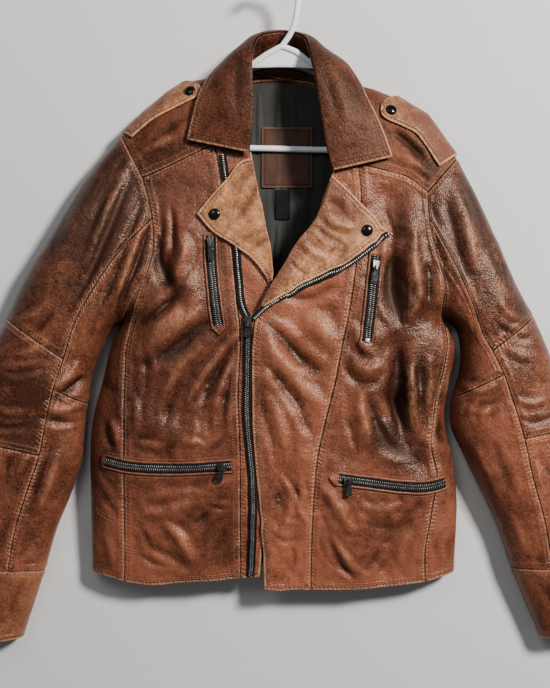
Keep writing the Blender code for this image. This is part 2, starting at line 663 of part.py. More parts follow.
def sleeve_sections(rows, loop):
    """Each section's outer and inner half, as points from the lengthwise seam round to the under seam."""
    over, under = loop
    top, low = FOLD_STEPS + 1, FOLD_STEPS + 2
    first = rows[0]
    made = []
    for row in rows:
        outer_top = sleeve_quarter(row, first, over[:top + 1], 0, row["seam"], False)
        outer_low = sleeve_quarter(row, first, under[:low + 1], 0, SLEEVE_UNDER_SEAM, True)
        inner_top = sleeve_quarter(row, first, over[top:], row["seam"], 1, False)
        inner_low = sleeve_quarter(row, first, under[low:], SLEEVE_UNDER_SEAM, 1, True)
        made.append((np.concatenate([outer_top[::-1], outer_low[1:]]),
                     np.concatenate([inner_top, inner_low[::-1][1:]])))
    return made


def make_sleeve(side, sleeve_rows, loop, group):
    sections = sleeve_sections([dict(zip(SLEEVE_COLUMNS, row)) for row in sleeve_rows], loop)
    for piece, (first, last) in SLEEVE_SPANS.items():
        chosen = sections[first:last + 1]
        if piece == "cuff":
            grid = np.array([np.concatenate([outer, inner[::-1][1:-1]]) for outer, inner in chosen])
            grid = pull_in(np.concatenate([grid[:1], (grid[:1] + grid[1:]) / 2, grid[1:]]), sides="b")
        elif piece.endswith("inner"):
            grid = pull_in(np.array([inner[::-1] for _, inner in chosen]))
            if first == 0:
                grid = pull_in(grid, UNDERARM_EASE, "b")
        else:
            grid = pull_in(np.array([outer for outer, _ in chosen]))
        if side == "right":
            grid = grid[::-1]
        finish = "worn_edge" if piece in ("elbow_panel", "cuff") else "chestnut"
        shell(f"{side}_{piece}", grid, finish, group, round_trip=piece == "cuff")


def make_sleeves(group):
    right = armhole_loop(right_yoke(), right_side(), RIGHT_ARMHOLE_FRONT, BACK_RIGHT_ARMHOLE)
    left = armhole_loop(left_yoke(), left_side(), LEFT_ARMHOLE_FRONT, BACK_LEFT_ARMHOLE)
    make_sleeve("right", RIGHT_SLEEVE_ROWS, right, group)
    make_sleeve("left", LEFT_SLEEVE_ROWS, left, group)


def make_lapels(group):
    right = patch(RIGHT_LAPEL_EDGE, RIGHT_LAPEL_ROLL,
                  spread([RIGHT_LAPEL_EDGE[0], RIGHT_LAPEL_ROLL[0]], 4), RIGHT_LAPEL_TOP)
    rise = np.linspace(0, 1, right.shape[1])[None, :]
    lift = LAPEL_LIFT - LAPEL_TIP_DROP * (1 - rise) + LAPEL_ROLL_RISE * rise**2
    front_piece("right_lapel", right, "tan", group, np.broadcast_to(lift, right.shape[:2]))
    left = patch(LEFT_LAPEL_ROLL, LEFT_LAPEL_EDGE,
                 spread([LEFT_LAPEL_ROLL[0], LEFT_LAPEL_EDGE[0]], 4), LEFT_LAPEL_TOP)
    lift = OVERLAP_LIFT + LAPEL_LIFT - LAPEL_TIP_DROP * rise + LAPEL_ROLL_RISE * (1 - rise) ** 2
    front_piece("left_lapel", left, "tan", group, np.broadcast_to(lift, left.shape[:2]))


def collar_grids():
    roll = np.stack([COLLAR["roll_x"], COLLAR["roll_y"], COLLAR["roll_z"]], -1)
    edge = np.stack([COLLAR["edge_x"], COLLAR["edge_y"], COLLAR["edge_z"]], -1)
    seam = np.stack([COLLAR["seam_x"], COLLAR["seam_y"], COLLAR["seam_z"]], -1)
    along = np.gradient(roll, axis=0)
    outward = np.cross(along, edge - roll)
    outward = outward / np.linalg.norm(outward, axis=1, keepdims=True)
    leaf = []
    for share in np.linspace(0, 1, 6):
        bow = 4 * share * (1 - share) * COLLAR["bulge"][:, None]
        leaf.append(roll + (edge - roll) * share + outward * bow)
    top = roll - outward * STAND_BELOW_ROLL
    stand = [seam + (top - seam) * share for share in np.linspace(0, 1, 4)]
    return np.array(leaf), np.array(stand)


def make_collar(group):
    leaf, stand = collar_grids()
    shell("collar_leaf", leaf, "chestnut", group)
    shell("collar_stand", stand, "dark_chestnut", group)


def flat_piece(name, corners, layer, finish, group, thickness, divisions=(3, 3)):
    x0, y0, x1, y1 = corners
    xs, ys = np.linspace(x0, x1, divisions[0] + 1), np.linspace(y0, y1, divisions[1] + 1)
    grid = np.array([[(x, y, layer) for x in xs] for y in ys])
    return shell(name, grid, finish, group, thickness)


def make_neck_pieces(group):
    top = [(-50, 356), (-20, 359), (11, 361), (42, 357), (70, 349)]
    lining = patch([(-120, 45), (-120, 200), (-118, 300), (-74, 343), top[0]],
                   [(150, 45), (150, 200), (150, 283), (98, 322), top[-1]],
                   spread([(-120, 45), (150, 45)], 4), top)
    shell("back_lining", on_back(lining, LINING_LIFT), "lining", group, LINING)
    facing = [[(-51, 358), (-30, 361), (-8, 363), (14, 363), (36, 361), (55, 358), (73, 354)],
              [(-46, 368), (-26, 376), (-4, 379), (20, 379), (42, 373), (55, 368), (66, 362)]]
    shell("back_neck_facing", on_back(np.array(facing, float), FACING_LIFT), "chestnut", group)
    flat_piece("label_patch", LABEL_CORNERS, LABEL_LAYER, "label", group, LINING)
    flat_piece("fabric_tab", FABRIC_TAB_CORNERS, LABEL_LAYER, "black_tape", group, FABRIC_TAB, (1, 2))


def tube(name, points, radius, finish, group, cyclic=False, resolution=2):
    data = bpy.data.curves.new(name, "CURVE")
    data.dimensions = "3D"
    data.bevel_depth = radius * MM
    data.bevel_resolution = resolution
    data.use_fill_caps = not cyclic
    line = data.splines.new("POLY")
    line.points.add(len(points) - 1)
    for point, place in zip(line.points, points):
        point.co = (*[value * MM for value in place], 1)
    line.use_cyclic_u = cyclic
    return add_object(name, data, finish, group)


def make_hanging_loop(group):
    shares = np.linspace(0, 1, 9)
    sag = np.sin(math.pi * shares)
    start, end = LOOP_ENDS
    xs = start + (end - start) * shares
    points = np.column_stack([xs, LOOP_Y - LOOP_SAG * sag, LOOP_Z + LOOP_RISE * sag])
    tube("hanging_loop", points, LOOP_RADIUS, "chestnut", group)


def make_main_zip(group):
    for name, line, steps, width, lift in (
            ("main_zip", MAIN_ZIP_LINE, 20, MAIN_ZIP_WIDTH, TAPE_LIFT),
            ("right_zip_tape", RIGHT_TAPE_LINE, 12, TAPE_WIDTH, TAPE_LIFT),
            ("left_zip_tape", LEFT_TAPE_LINE, 12, TAPE_WIDTH, OVERLAP_LIFT + TAPE_LIFT)):
        front_piece(name, strip(spread(line, steps), width), "black_tape", group, lift, TAPE, 0)


def make_pocket_zips(group):
    for name, line in POCKET_ZIPS.items():
        stations = spread(line, POCKET_STEPS if "pocket" in name else CHEST_STEPS)
        way = (stations[-1] - stations[0]) / np.linalg.norm(stations[-1] - stations[0])
        start, end = stations[0] - way * WELT_ENDS[0], stations[-1] + way * WELT_ENDS[1]
        welt = strip(np.concatenate([[start], stations, [end]]), WELT_WIDTH)
        front_piece(name + "_welt", welt, "worn_edge", group, WELT_LIFT, WELT, 0)
        chain = strip(stations, POCKET_ZIP_WIDTH)
        front_piece(name + "_zip", chain, "gunmetal", group, POCKET_ZIP_LIFT, TAPE, 0)


def cube_mesh(name, size, centre, reshape=None):
    """A block, whose corners reshape can move."""
    mesh = bpy.data.meshes.new(name)
    build = bmesh.new()
    place = Matrix.Translation(Vector(centre) * MM) @ Matrix.Diagonal((*(Vector(size) * MM), 1))
    bmesh.ops.create_cube(build, size=1, matrix=place)
    if reshape:
        for vert in build.verts:
            reshape(vert.co)
    build.to_mesh(mesh)
    build.free()
    return mesh


def front_normal(x, y):
    """A place on the front's middle surface, and the way out of the leather there."""
    low, high = (Vector(on_front(x, y, lift)) for lift in (0.0, 1.0))
    return low, (high - low).normalized()


def slider_frame(name):
    """The place of a slider on its zip: origin on the tape, X towards the tab's tip, Z off the leather."""
    x, y, pull_x, pull_y = SLIDERS[name][:4]
    base, normal = front_normal(x, y)
    lift = (TAPE_LIFT if name == "main" else POCKET_ZIP_LIFT) + TAPE / 2 + SLIDER_STAND
    forward = Vector((pull_x, pull_y, 0))
    forward = (forward - normal * forward.dot(normal)).normalized()
    turn = Matrix((forward, normal.cross(forward), normal)).transposed().to_4x4()
    return Matrix.Translation((base + normal * lift) * MM) @ turn


def make_slider(name, group, cutters):
    """A slider's body, tapered along its zip, with a bail on top that the pull tab's eye goes round."""
    frame = slider_frame(name)
    scale, tab_length, across = SLIDERS[name][4:]
    length, width = (SLIDER_WIDTH, SLIDER_LENGTH) if across else (SLIDER_LENGTH, SLIDER_WIDTH)
    axis_x = length / 2 - AXIS_SETBACK

    def taper(corner):
        if across and corner.y > 0:
            corner.x *= SLIDER_TAPER
        elif not across and corner.x > 0:
            corner.y *= SLIDER_TAPER

    mesh = cube_mesh(name + "_slider", (length, width, SLIDER_HEIGHT), (0, 0, SLIDER_HEIGHT / 2), taper)
    obj = add_object(name + "_slider", mesh, "gunmetal", group)
    obj.matrix_world = frame @ Matrix.Scale(scale, 4)
    arch = AXIS_HEIGHT + TAB_THICK * math.sqrt(2) / 2 + BAIL_CLEARANCE
    leg = (BAIL_LEG_THICK, BAIL_WIDTH, arch + 2 * BAIL_ROOT)
    pieces = [(leg, (axis_x + way * BAIL_LEG, 0, SLIDER_HEIGHT + arch / 2)) for way in (-1, 1)]
    bar = (2 * BAIL_LEG + BAIL_LEG_THICK, BAIL_WIDTH, BAIL_BAR)
    pieces.append((bar, (axis_x, 0, SLIDER_HEIGHT + arch + BAIL_BAR / 2)))
    for number, (size, centre) in enumerate(pieces):
        cutter = bpy.data.objects.new(f"{name}_bail_{number}", cube_mesh(f"{name}_bail_{number}", size, centre))
        cutters.objects.link(cutter)
        cutter.hide_render = True
        cutter.display_type = "WIRE"
        cutter.matrix_world = obj.matrix_world
        union = obj.modifiers.new(f"bail_{number}", "BOOLEAN")
        union.operation = "UNION"
        union.object = cutter
    make_pull(name, frame @ Matrix.Scale(scale, 4), tab_length, axis_x, group)


def make_pull(name, frame, length, axis_x, group):
    """A pull tab with an eye round the slider's bail. Its origin is on the axis that it turns about."""
    data = bpy.data.curves.new(name + "_pull", "CURVE")
    data.dimensions = "2D"
    data.fill_mode = "BOTH"
    data.extrude = TAB_THICK / 2 * MM
    bar, eye, wide = TAB_THICK / 2, TAB_EYE_WIDTH / 2, TAB_WIDTH / 2
    head = eye + TAB_ARM
    neck = bar + TAB_EYE_LENGTH + TAB_ARM
    side = [(-bar, head - TAB_CHAMFER), (0, head), (neck, head), (neck + 2 * TAB_CORNER, wide),
            (length - TAB_CORNER, wide), (length, wide - TAB_CORNER)]
    outline = side + [(x, -y) for x, y in reversed(side)]
    hole = [(bar, -eye), (bar + TAB_EYE_LENGTH, -eye), (bar + TAB_EYE_LENGTH, eye), (bar, eye)]
    for corners in (outline, hole):
        line = data.splines.new("POLY")
        line.points.add(len(corners) - 1)
        for point, (x, y) in zip(line.points, corners):
            point.co = (x * MM, y * MM, 0, 1)
        line.use_cyclic_u = True
    obj = add_object(name + "_pull", data, "gunmetal", group)
    axis = Vector((axis_x, 0, SLIDER_HEIGHT + AXIS_HEIGHT)) * MM
    obj.matrix_world = frame @ Matrix.Translation(axis) @ Matrix.Rotation(TAB_TILT, 4, "Y")


def make_snap(name, x, y, kind, group):
    """A domed cap, turned about the line off the leather."""
    lift = EPAULETTE_LIFT if kind == "epaulette" else LAPEL_LIFT + (OVERLAP_LIFT if x > 0 else 0)
    base, normal = front_normal(x, y)
    place = base + normal * (lift + LEATHER / 2 + SNAP_STAND)
    mesh = bpy.data.meshes.new(name)
    angles = np.linspace(math.pi / 2, SNAP_BROW, 5)
    dome = [(SNAP_RADIUS * math.cos(a), SNAP_RIM + (SNAP_HEIGHT - SNAP_RIM) * math.sin(a)) for a in angles]
    profile = [(0, SNAP_HEIGHT)] + dome[1:] + [(SNAP_RADIUS, SNAP_RIM), (SNAP_RADIUS - SNAP_RIM, 0), (0, 0)]
    edges = [(i, i + 1) for i in range(len(profile) - 1)]
    mesh.from_pydata([(across * MM, 0, up * MM) for across, up in profile], edges, [])
    obj = add_object(name, mesh, "black_snap", group)
    turned = obj.modifiers.new("turned", "SCREW")
    turned.steps = turned.render_steps = SNAP_SIDES
    turned.use_merge_vertices = True
    turned.merge_threshold = 0.00005
    obj.matrix_world = Matrix.Translation(place * MM) @ normal.to_track_quat("Z", "Y").to_matrix().to_4x4()


def lifted(grid, lift):
    """A grid of points moved out from its own surface, along the way its rows and columns turn."""
    normal = np.cross(np.gradient(grid, axis=1), np.gradient(grid, axis=0))
    normal = normal / np.linalg.norm(normal, axis=-1, keepdims=True)
    return grid + normal * lift


def make_epaulette(name, edges, group):
    lower, upper = (np.array(edge, float) for edge in edges)
    turns = (1 - np.cos(np.linspace(0, math.pi / 2, FOLD_STEPS + 1)))[::-1, None, None]
    places = upper + (lower - upper) * turns
    grid = np.concatenate([places, front_height(places[..., 0], places[..., 1])[..., None]], -1)
    lift = EPAULETTE_LIFT if lower[0, 0] < 0 else -EPAULETTE_LIFT
    shell(name, lifted(grid, lift), "tan", group)


def hanger_point(x, y):
    return (x, y, BAR_Z + (y - BAR_Y) * HANGER_RISE)


def rounded_loop(corners):
    """A closed polyline with each corner cut back and rounded."""
    made = []
    count = len(corners)
    for number, corner in enumerate(corners):
        corner = np.array(corner, float)
        before = np.array(corners[number - 1], float)
        after = np.array(corners[(number + 1) % count], float)
        a = corner + (before - corner) * min(MOST_PULL, HANGER_BEND / np.linalg.norm(before - corner))
        b = corner + (after - corner) * min(MOST_PULL, HANGER_BEND / np.linalg.norm(after - corner))
        for share in (0, 0.5, 1):
            made.append((1 - share) ** 2 * a + 2 * share * (1 - share) * corner + share**2 * b)
    return made


def make_hanger(group, cutters):
    """The frame and the hook, moulded in one piece."""
    loop = [hanger_point(x, y) for x, y in rounded_loop(HANGER_CORNERS)]
    frame = tube("hanger_frame", loop, HANGER_ROD, "white_plastic", cutters, cyclic=True, resolution=3)
    turns = np.radians(np.linspace(HOOK_START_DEGREES, HOOK_END_DEGREES, 13))
    curl = [(HOOK_CENTRE[0] + HOOK_RADIUS * math.cos(turn), HOOK_CENTRE[1] + HOOK_RADIUS * math.sin(turn))
            for turn in turns]
    line = [hanger_point(x, y) for x, y in HOOK_LINE + curl]
    hook = tube("hanger_hook", line, HANGER_HOOK_ROD, "white_plastic", cutters, resolution=3)
    solid = [meshed(obj, cutters) for obj in (frame, hook)]
    hanger = solid[0]
    cutters.objects.unlink(hanger)
    group.objects.link(hanger)
    hanger.name = "hanger"
    hanger.hide_render = False
    hanger.display_type = "TEXTURED"
    union = hanger.modifiers.new("moulded_hook", "BOOLEAN")
    union.operation = "UNION"
    union.object = solid[1]


def meshed(obj, group):
    """A curve's mesh, welded shut, in its place."""
    bpy.context.view_layer.update()
    graph = bpy.context.evaluated_depsgraph_get()
    mesh = bpy.data.meshes.new_from_object(obj.evaluated_get(graph))
    build = bmesh.new()
    build.from_mesh(mesh)
    bmesh.ops.remove_doubles(build, verts=build.verts, dist=0.000001)
    build.to_mesh(mesh)
    build.free()
    mesh.shade_smooth()
    made = bpy.data.objects.new(obj.name + "_solid", mesh)
    made.matrix_world = obj.matrix_world
    made.hide_render = True
    made.display_type = "WIRE"
    group.objects.link(made)
    bpy.data.objects.remove(obj, do_unlink=True)
    return made


def main():
    clear_scene()
    group = collection("leather_jacket_on_hanger")
    cutters = collection("cutters", hidden=True)
    make_back(group)
    make_right_fronts(group)
    make_left_fronts(group)
    make_sides_and_yokes(group)
    make_sleeves(group)
    make_lapels(group)
    make_collar(group)
    make_neck_pieces(group)
    make_hanging_loop(group)
    make_epaulette("right_epaulette", RIGHT_EPAULETTE, group)
    make_epaulette("left_epaulette", LEFT_EPAULETTE, group)
    make_main_zip(group)
    make_pocket_zips(group)
    for name in SLIDERS:
        make_slider(name, group, cutters)
    for name, (x, y, kind) in SNAPS.items():
        make_snap(name, x, y, kind, group)
    make_hanger(group, cutters)


main()
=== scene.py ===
"""Dresses the worn brown leather biker jacket on its plastic hanger: fine leather shells with creases, seams,
topstitching, zips, snaps, lining and label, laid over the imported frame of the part.

Tables are in millimetres and MM turns them into metres. +X is the wearer's left, +Y runs from hem to collar, and
+Z rises from the floor that the back lies on.
"""

import itertools
import json
import math

import bpy
import numpy as np
from mathutils import Matrix, Vector

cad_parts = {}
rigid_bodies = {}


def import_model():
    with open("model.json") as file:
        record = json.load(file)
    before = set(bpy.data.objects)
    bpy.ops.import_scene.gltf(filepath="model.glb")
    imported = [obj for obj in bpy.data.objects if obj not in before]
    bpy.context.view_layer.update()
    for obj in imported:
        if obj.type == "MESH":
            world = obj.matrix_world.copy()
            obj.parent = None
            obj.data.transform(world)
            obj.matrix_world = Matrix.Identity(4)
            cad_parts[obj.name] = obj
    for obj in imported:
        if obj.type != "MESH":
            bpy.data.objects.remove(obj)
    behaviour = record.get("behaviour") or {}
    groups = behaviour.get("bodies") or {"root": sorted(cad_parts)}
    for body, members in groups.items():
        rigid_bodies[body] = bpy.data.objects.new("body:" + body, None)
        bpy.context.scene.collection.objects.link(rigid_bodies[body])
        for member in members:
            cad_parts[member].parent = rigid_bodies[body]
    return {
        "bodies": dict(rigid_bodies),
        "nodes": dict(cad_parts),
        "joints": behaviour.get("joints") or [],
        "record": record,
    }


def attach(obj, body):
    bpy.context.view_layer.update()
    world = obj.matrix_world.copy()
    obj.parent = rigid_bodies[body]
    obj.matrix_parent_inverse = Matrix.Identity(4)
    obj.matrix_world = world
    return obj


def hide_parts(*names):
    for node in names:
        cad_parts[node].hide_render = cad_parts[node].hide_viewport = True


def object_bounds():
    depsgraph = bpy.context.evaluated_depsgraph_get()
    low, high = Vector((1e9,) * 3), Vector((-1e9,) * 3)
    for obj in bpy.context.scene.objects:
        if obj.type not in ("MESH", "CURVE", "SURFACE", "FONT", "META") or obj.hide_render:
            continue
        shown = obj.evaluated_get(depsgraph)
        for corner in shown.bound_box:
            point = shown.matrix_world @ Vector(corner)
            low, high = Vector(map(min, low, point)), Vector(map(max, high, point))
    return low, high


bl_info = {
    "name": "Leather jacket on a hanger",
    "version": (1, 0, 0),
    "blender": (4, 5, 0),
    "location": "View3D > Sidebar > Jacket",
    "description": "Dresses a worn leather biker jacket that lies flat with a clothes hanger in it",
    "category": "Object",
}

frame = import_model()
CAD_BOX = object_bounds()
JACKET = "jacket"
MM = 0.001


# --- tables


def path(*numbers):
    """Places in plan, from a run of their x and y."""
    return list(zip(numbers[::2], numbers[1::2]))


def crease_table(*rows):
    """Creases as half-width, rise and line, from rows of half-width, rise, first place and the steps on from it."""
    return [(width, rise, np.cumsum(np.reshape(steps, (-1, 2)), axis=0)) for width, rise, *steps in rows]


# Thickness of each kind of wall.
LEATHER = 2.0
LINING = 1.6
WELT = 1.2
MAIN_TAPE = 0.9
POCKET_TAPE = 0.8
HANGER_WEB = 3.4

# How high each layer lies over the one beneath it, and how it eases down to it.
WELT_LIFT = 2.6
TAPE_LIFT = 2.6
LAPEL_LIFT = 5.9
LAPEL_ROLL_RISE = 3.0
LAPEL_TIP_DROP = 0.8
EPAULETTE_LIFT = 3.7
OVERLAP_LIFT = 3.4
OVERLAP_REACH = 45.0
OVERLAP_HOLD = 1.6

# How far apart a grid's points lie, and then how many rows, columns or sides a shape has.
GRID = 2.8
BACK_GRID = 5.0
FINE_GRID = 2.2
LINING_GRID = 2.4
EPAULETTE_GRID = 2.4
LABEL_GRID = 1.8
FOLD_PARTS = 4
LEAF_ROWS = 27
STAND_ROWS = 17
EPAULETTE_ROWS = 25
TAPE_COLUMNS = 6
POCKET_COLUMNS = 20
LOOP_PARTS = 48
LOOP_SIDES = 14
ROD_SIDES = 28
HOOK_PARTS = 40
WEB_ROWS = 11
SNAP_RINGS = 12
SNAP_SIDES = 48

# The table of the front's smaller creases, how far a crease reaches, and where the leather stays calm.
RELIEF_LOW = (-345.0, -360.0)
RELIEF_HIGH = (346, 421)
RELIEF_STEP = 2.0
RELIEF_SPAN = 12
SURFACE_STEP = 2.0
CREASE_STEP = 7
CREASE_REACH = 2.8
FOLD_SPREAD = 1.6
CALM_REACH = 15.0
FOLD_CALM = (15, 30)
MOST_BACK_RISE = 0.9

# A seam or an edge: how far it rises, sinks, puckers and wears, where the allowance beneath it ends, how far it
# is pulled in, and the turns of its rounded rim.
SEAM_RISE = 0.55
SEAM_SINK = 2.2
SEAM_PUCKER = 0.75
SEAM_WEAR = 2.6
EDGE_RISE = 0.4
EDGE_PUCKER = 0.35
EDGE_WEAR = 4.2
ALLOWANCE = (8.0, 12.5)
SEAM_PULL = 0.6
MOST_SLANT = 0.35
FAR_OFF = 60.0
RIM_TURNS = (45, 0, -45)

# How deep the leather is turned in before the lining starts.
HEM_FACING = 32
ZIP_FACING = 20
FRONT_FACING = 45
YOKE_FACING = {"l": 8, "r": 8}
SLEEVE_FACING = {"l": 6, "r": 6}
CUFF_FACING = {"t": 28}

# Sizes of the stitches, the zip teeth and other small parts.
STITCH_SHARE = 0.38
STITCH_WIDTH = 1.6
STITCH_HEIGHT = 1.3
TOOTH_HEIGHT = 1.9
STOP_SIZE = (5.5, 6.5, 2.2)
POCKET_TAPE_WIDTH = 13.2
ROD_POINT = 0.45
MOST_PULL = 0.4
BEVEL_DEGREES = 30

# The flattened body: height of the widest point of its folds, and how far its folds round off.
FLOOR_LAYER = LEATHER / 2
FOLD_HEIGHT = 20.0
SIDE_ROUND = 62.0
SHOULDER_ROUND = 58.0
UNDER_ROUND = 20.0
FOLD_POWER = 2.3
CROWN_DROP = 0.12
FOLD_STEPS = 5
YOKE_STEPS = 8
HALF_CHEST = 250.0

# Body outline from hem to chest. Above the underarms the edges flare under the sleeves.
BODY_COLUMNS = ("y", "right_edge", "left_edge", "height")
BODY_ROWS = [(-335, -247, 241, 42), (-310, -248, 243, 45), (-213, -250, 247, 58), (-150, -251, 240, 63),
    (-125, -250, 233, 64), (-95, -246, 230, 65), (-50, -234, 237, 66), (-15, -226, 244, 66), (5, -221, 245, 66),
    (32, -207, 230, 66), (60, -250, 262, 66), (100, -310, 330, 65), (200, -420, 440, 60), (300, -520, 540, 55),
    (380, -560, 580, 47)]

# Seams and edges of the fronts, each from hem to top. A side row is where the seam on the front is, and
# the height up the body at which its section reaches the fold: (seam_x, seam_y, fold_y).
RIGHT_SIDE_ROWS = [(-203, -320, -309), (-202, -277, -272), (-202, -235, -235), (-202, -192, -192),
    (-202, -150, -150), (-201, -108, -108), (-201, -67, -67), (-200, -39, -42), (-199, -11, -18), (-191, 28, 4),
    (-182, 58, 17), (-172, 90, 28)]
LEFT_SIDE_ROWS = [(203, -321, -310), (202, -275, -272), (207, -244, -244), (212, -213, -213), (217, -176, -176),
    (209, -135, -137), (212, -103, -108), (216, -72, -80), (226, -35, -48), (231, 3, -10), (224, 52, 32)]
RIGHT_ARMHOLE_FRONT = path(-172, 90, -163, 123, -164, 168, -177, 222)
RIGHT_PLACKET = path(-46, -315, -46, -275, -46, -235, -46, -200, -46, -167, -47, -120, -49, -74, -48, -38, -46, -5,
                     -47, 25, -50, 52, -53, 80, -57, 123, -65, 168, -80, 266)
RIGHT_FRONT_EDGE = path(-21, -313, -18, -275, -16, -235, -16, -200, -16, -167, -18, -120, -20, -74, -20, -38,
                        -20, -5, -17, 30, -10, 56, -3, 80, -6, 123, -15, 168, -32, 256)
LEFT_FRONT_EDGE = path(-14, -329, -20, -220, -25, -169, -30, -96, -30, -43, -28, 10, -22, 47, 1, 85, 26, 128,
                       51, 161, 68, 205, 84, 248)
LEFT_PRINCESS = path(48, -331, 51, -220, 57, -150, 68, -100, 80, -52, 90, 0, 97, 33, 104, 75, 109, 118, 113, 161,
                     115, 200, 110, 240)
LEFT_ARMHOLE_FRONT = path(224, 52, 226, 76, 215, 122, 206, 168, 204, 203)
RIGHT_YOKE_SEAM = path(-177, 222, -137, 240, -98, 259, -80, 266)
LEFT_YOKE_SEAM_OUTER = path(204, 203, 178, 223, 140, 234, 110, 240)
LEFT_YOKE_SEAM_INNER = path(110, 240, 97, 244, 84, 248)
RIGHT_SHOULDER = path(-208, 284, -176, 314, -145, 340, -119, 357, -70, 365)
LEFT_SHOULDER = path(247, 252, 206, 310, 166, 334, 134, 347, 92, 357)
RIGHT_HEM = path(-203, -320, -167, -325, -124, -321, -80, -318, -46, -315)
LEFT_CENTRE_HEM = path(-14, -329, 2, -331, 25, -331, 48, -331)
LEFT_SIDE_HEM = path(48, -331, 101, -331, 150, -327, 203, -321)

# Largest folds of the fronts, from (x0, y0) to (x1, y1), then width and rise: a ridge where rise is
# positive, a trough where it is negative.
FRONT_FOLDS = [(-118, 150, -122, 75, 26, 6), (-122, 75, -168, 20, 28, 6), (-152, 150, -138, 60, 20, -6),
    (-70, 40, -150, -20, 34, 5), (-190, -100, -120, -130, 30, 4), (-60, -20, -130, -90, 26, -4),
    (-130, -230, -100, -300, 34, 4), (150, 195, 152, 75, 24, -6), (176, 160, 192, 70, 28, 6),
    (160, -5, 158, -85, 22, -7), (158, -85, 196, -160, 22, -7), (128, 10, 130, -120, 26, 5),
    (-8, 10, 32, -150, 24, 5), (40, 40, 20, -60, 24, -4), (78, -185, 118, -315, 30, 4),
    (175, -215, 150, -300, 26, -3)]

# Back, on the surface that the jacket lies on: its side seams from hem to underarm, and its upper seams
# from the armhole to the neck. Its armholes follow the front's.
BACK_SIDE_RIGHT = ((-200, -305), (-190, 58))
BACK_SIDE_LEFT = ((200, -305), (220, 58))
BACK_RIGHT_ARMHOLE = path(-190, 58, -172, 90, -163, 123, -164, 168, -177, 222, -184, 246)
BACK_LEFT_ARMHOLE = path(220, 58, 219, 80, 213, 122, 206, 168, 204, 203, 215, 222)
BACK_YOKE_RIGHT = path(-184, 246, -164, 292, -132, 321, -108, 338, -71, 361.5)
BACK_YOKE_LEFT = path(215, 222, 193, 285, 157, 312, 128, 324, 93, 354.5)
BACK_NECK = path(-71, 361.5, -61, 363.5, -48, 370, -26, 379, -4, 382, 20, 382, 44, 376, 66, 366, 82, 357.5, 93, 354.5)

# Collar from its right front end round the back of the neck to its left front end.
COLLAR_COLUMNS = ("roll_x", "roll_y", "roll_z", "edge_x", "edge_y", "edge_z", "seam_x", "seam_y", "seam_z",
                  "bulge")
COLLAR_ROWS = [(-35, 254, 70, -117, 272, 62, -72, 269, 58, 3), (-31, 291, 74, -111, 299, 62, -75.5, 296, 55, 5),
    (-30, 324, 75, -103, 328, 60, -72.7, 324, 51.5, 6), (-32, 357, 74, -90, 357, 53, -70.6, 347, 43.5, 7),
    (-32, 383, 72, -69, 381, 42, -68.6, 362, 29, 8), (-28, 404, 60, -46, 398, 24, -65, 366.5, 11, 8),
    (-18, 417, 46, -27, 408, 11, -26, 383, 5.5, 8), (0, 423, 36.5, -3, 413, 6, -4, 386, 5.5, 8),
    (20, 423, 34.5, 20, 413, 6, 20, 386, 5.5, 8), (37, 417, 41, 48, 408, 11, 44, 380, 6, 8),
    (46, 399, 56, 73, 394, 24, 87, 360.5, 10, 8), (51, 373, 70, 96, 378, 42, 90.5, 354, 29, 8),
    (56, 346, 74, 112, 354, 52, 89, 338, 44.5, 7), (60, 318, 76, 124, 328, 58, 87, 313, 52.5, 6),
    (64, 291, 76, 136, 302, 62, 85, 290, 55, 5), (69, 262, 75, 147, 276, 63, 83.5, 272, 56.5, 4),
    (78, 230, 72, 156, 249, 64, 82, 252, 59, 3)]

STAND_BELOW_ROLL = 3.2

# Lapels: each from its lower point to its top, as outer edge, roll line and top edge.
RIGHT_LAPEL_EDGE = path(-9, 85, -30, 113, -56, 132, -85, 151, -104, 172)
RIGHT_LAPEL_ROLL = path(-3, 83, -4, 115, -12, 155, -21, 200, -31, 246)
RIGHT_LAPEL_TOP = path(-104, 172, -84, 197, -64, 220, -44, 242, -31, 246)
LEFT_LAPEL_ROLL = path(-20, 50, 1, 86, 27, 130, 52, 163, 68, 200, 75, 222)
LEFT_LAPEL_EDGE = path(-15, 50, 25, 73, 65, 92, 98, 110, 125, 130, 148, 150)
LEFT_LAPEL_TOP = path(75, 222, 88, 211, 108, 192, 128, 171, 148, 150)

# Epaulettes, from the sleeve seam to the buttoned tip: lower edge on the front, then upper edge, which runs
# along the shoulder fold and leaves it at the tip.
RIGHT_EPAULETTE = (
    path(-191, 276, -178, 288, -165, 299, -149, 308, -133, 316, -117, 324, -107, 329, -100, 334, -98, 341),
    path(-206, 286, -192, 299, -176, 314, -160.5, 327, -145, 340, -132, 348.5, -121, 354, -111, 352, -102, 347))
LEFT_EPAULETTE = (
    path(219, 237, 208, 254, 197, 270, 186, 283, 173, 289, 160, 295, 149, 300, 143, 305, 141, 311),
    path(244.5, 255.5, 233, 271.8, 220, 290, 206, 310, 186, 322, 166, 334, 156, 332, 147, 326, 142, 319))

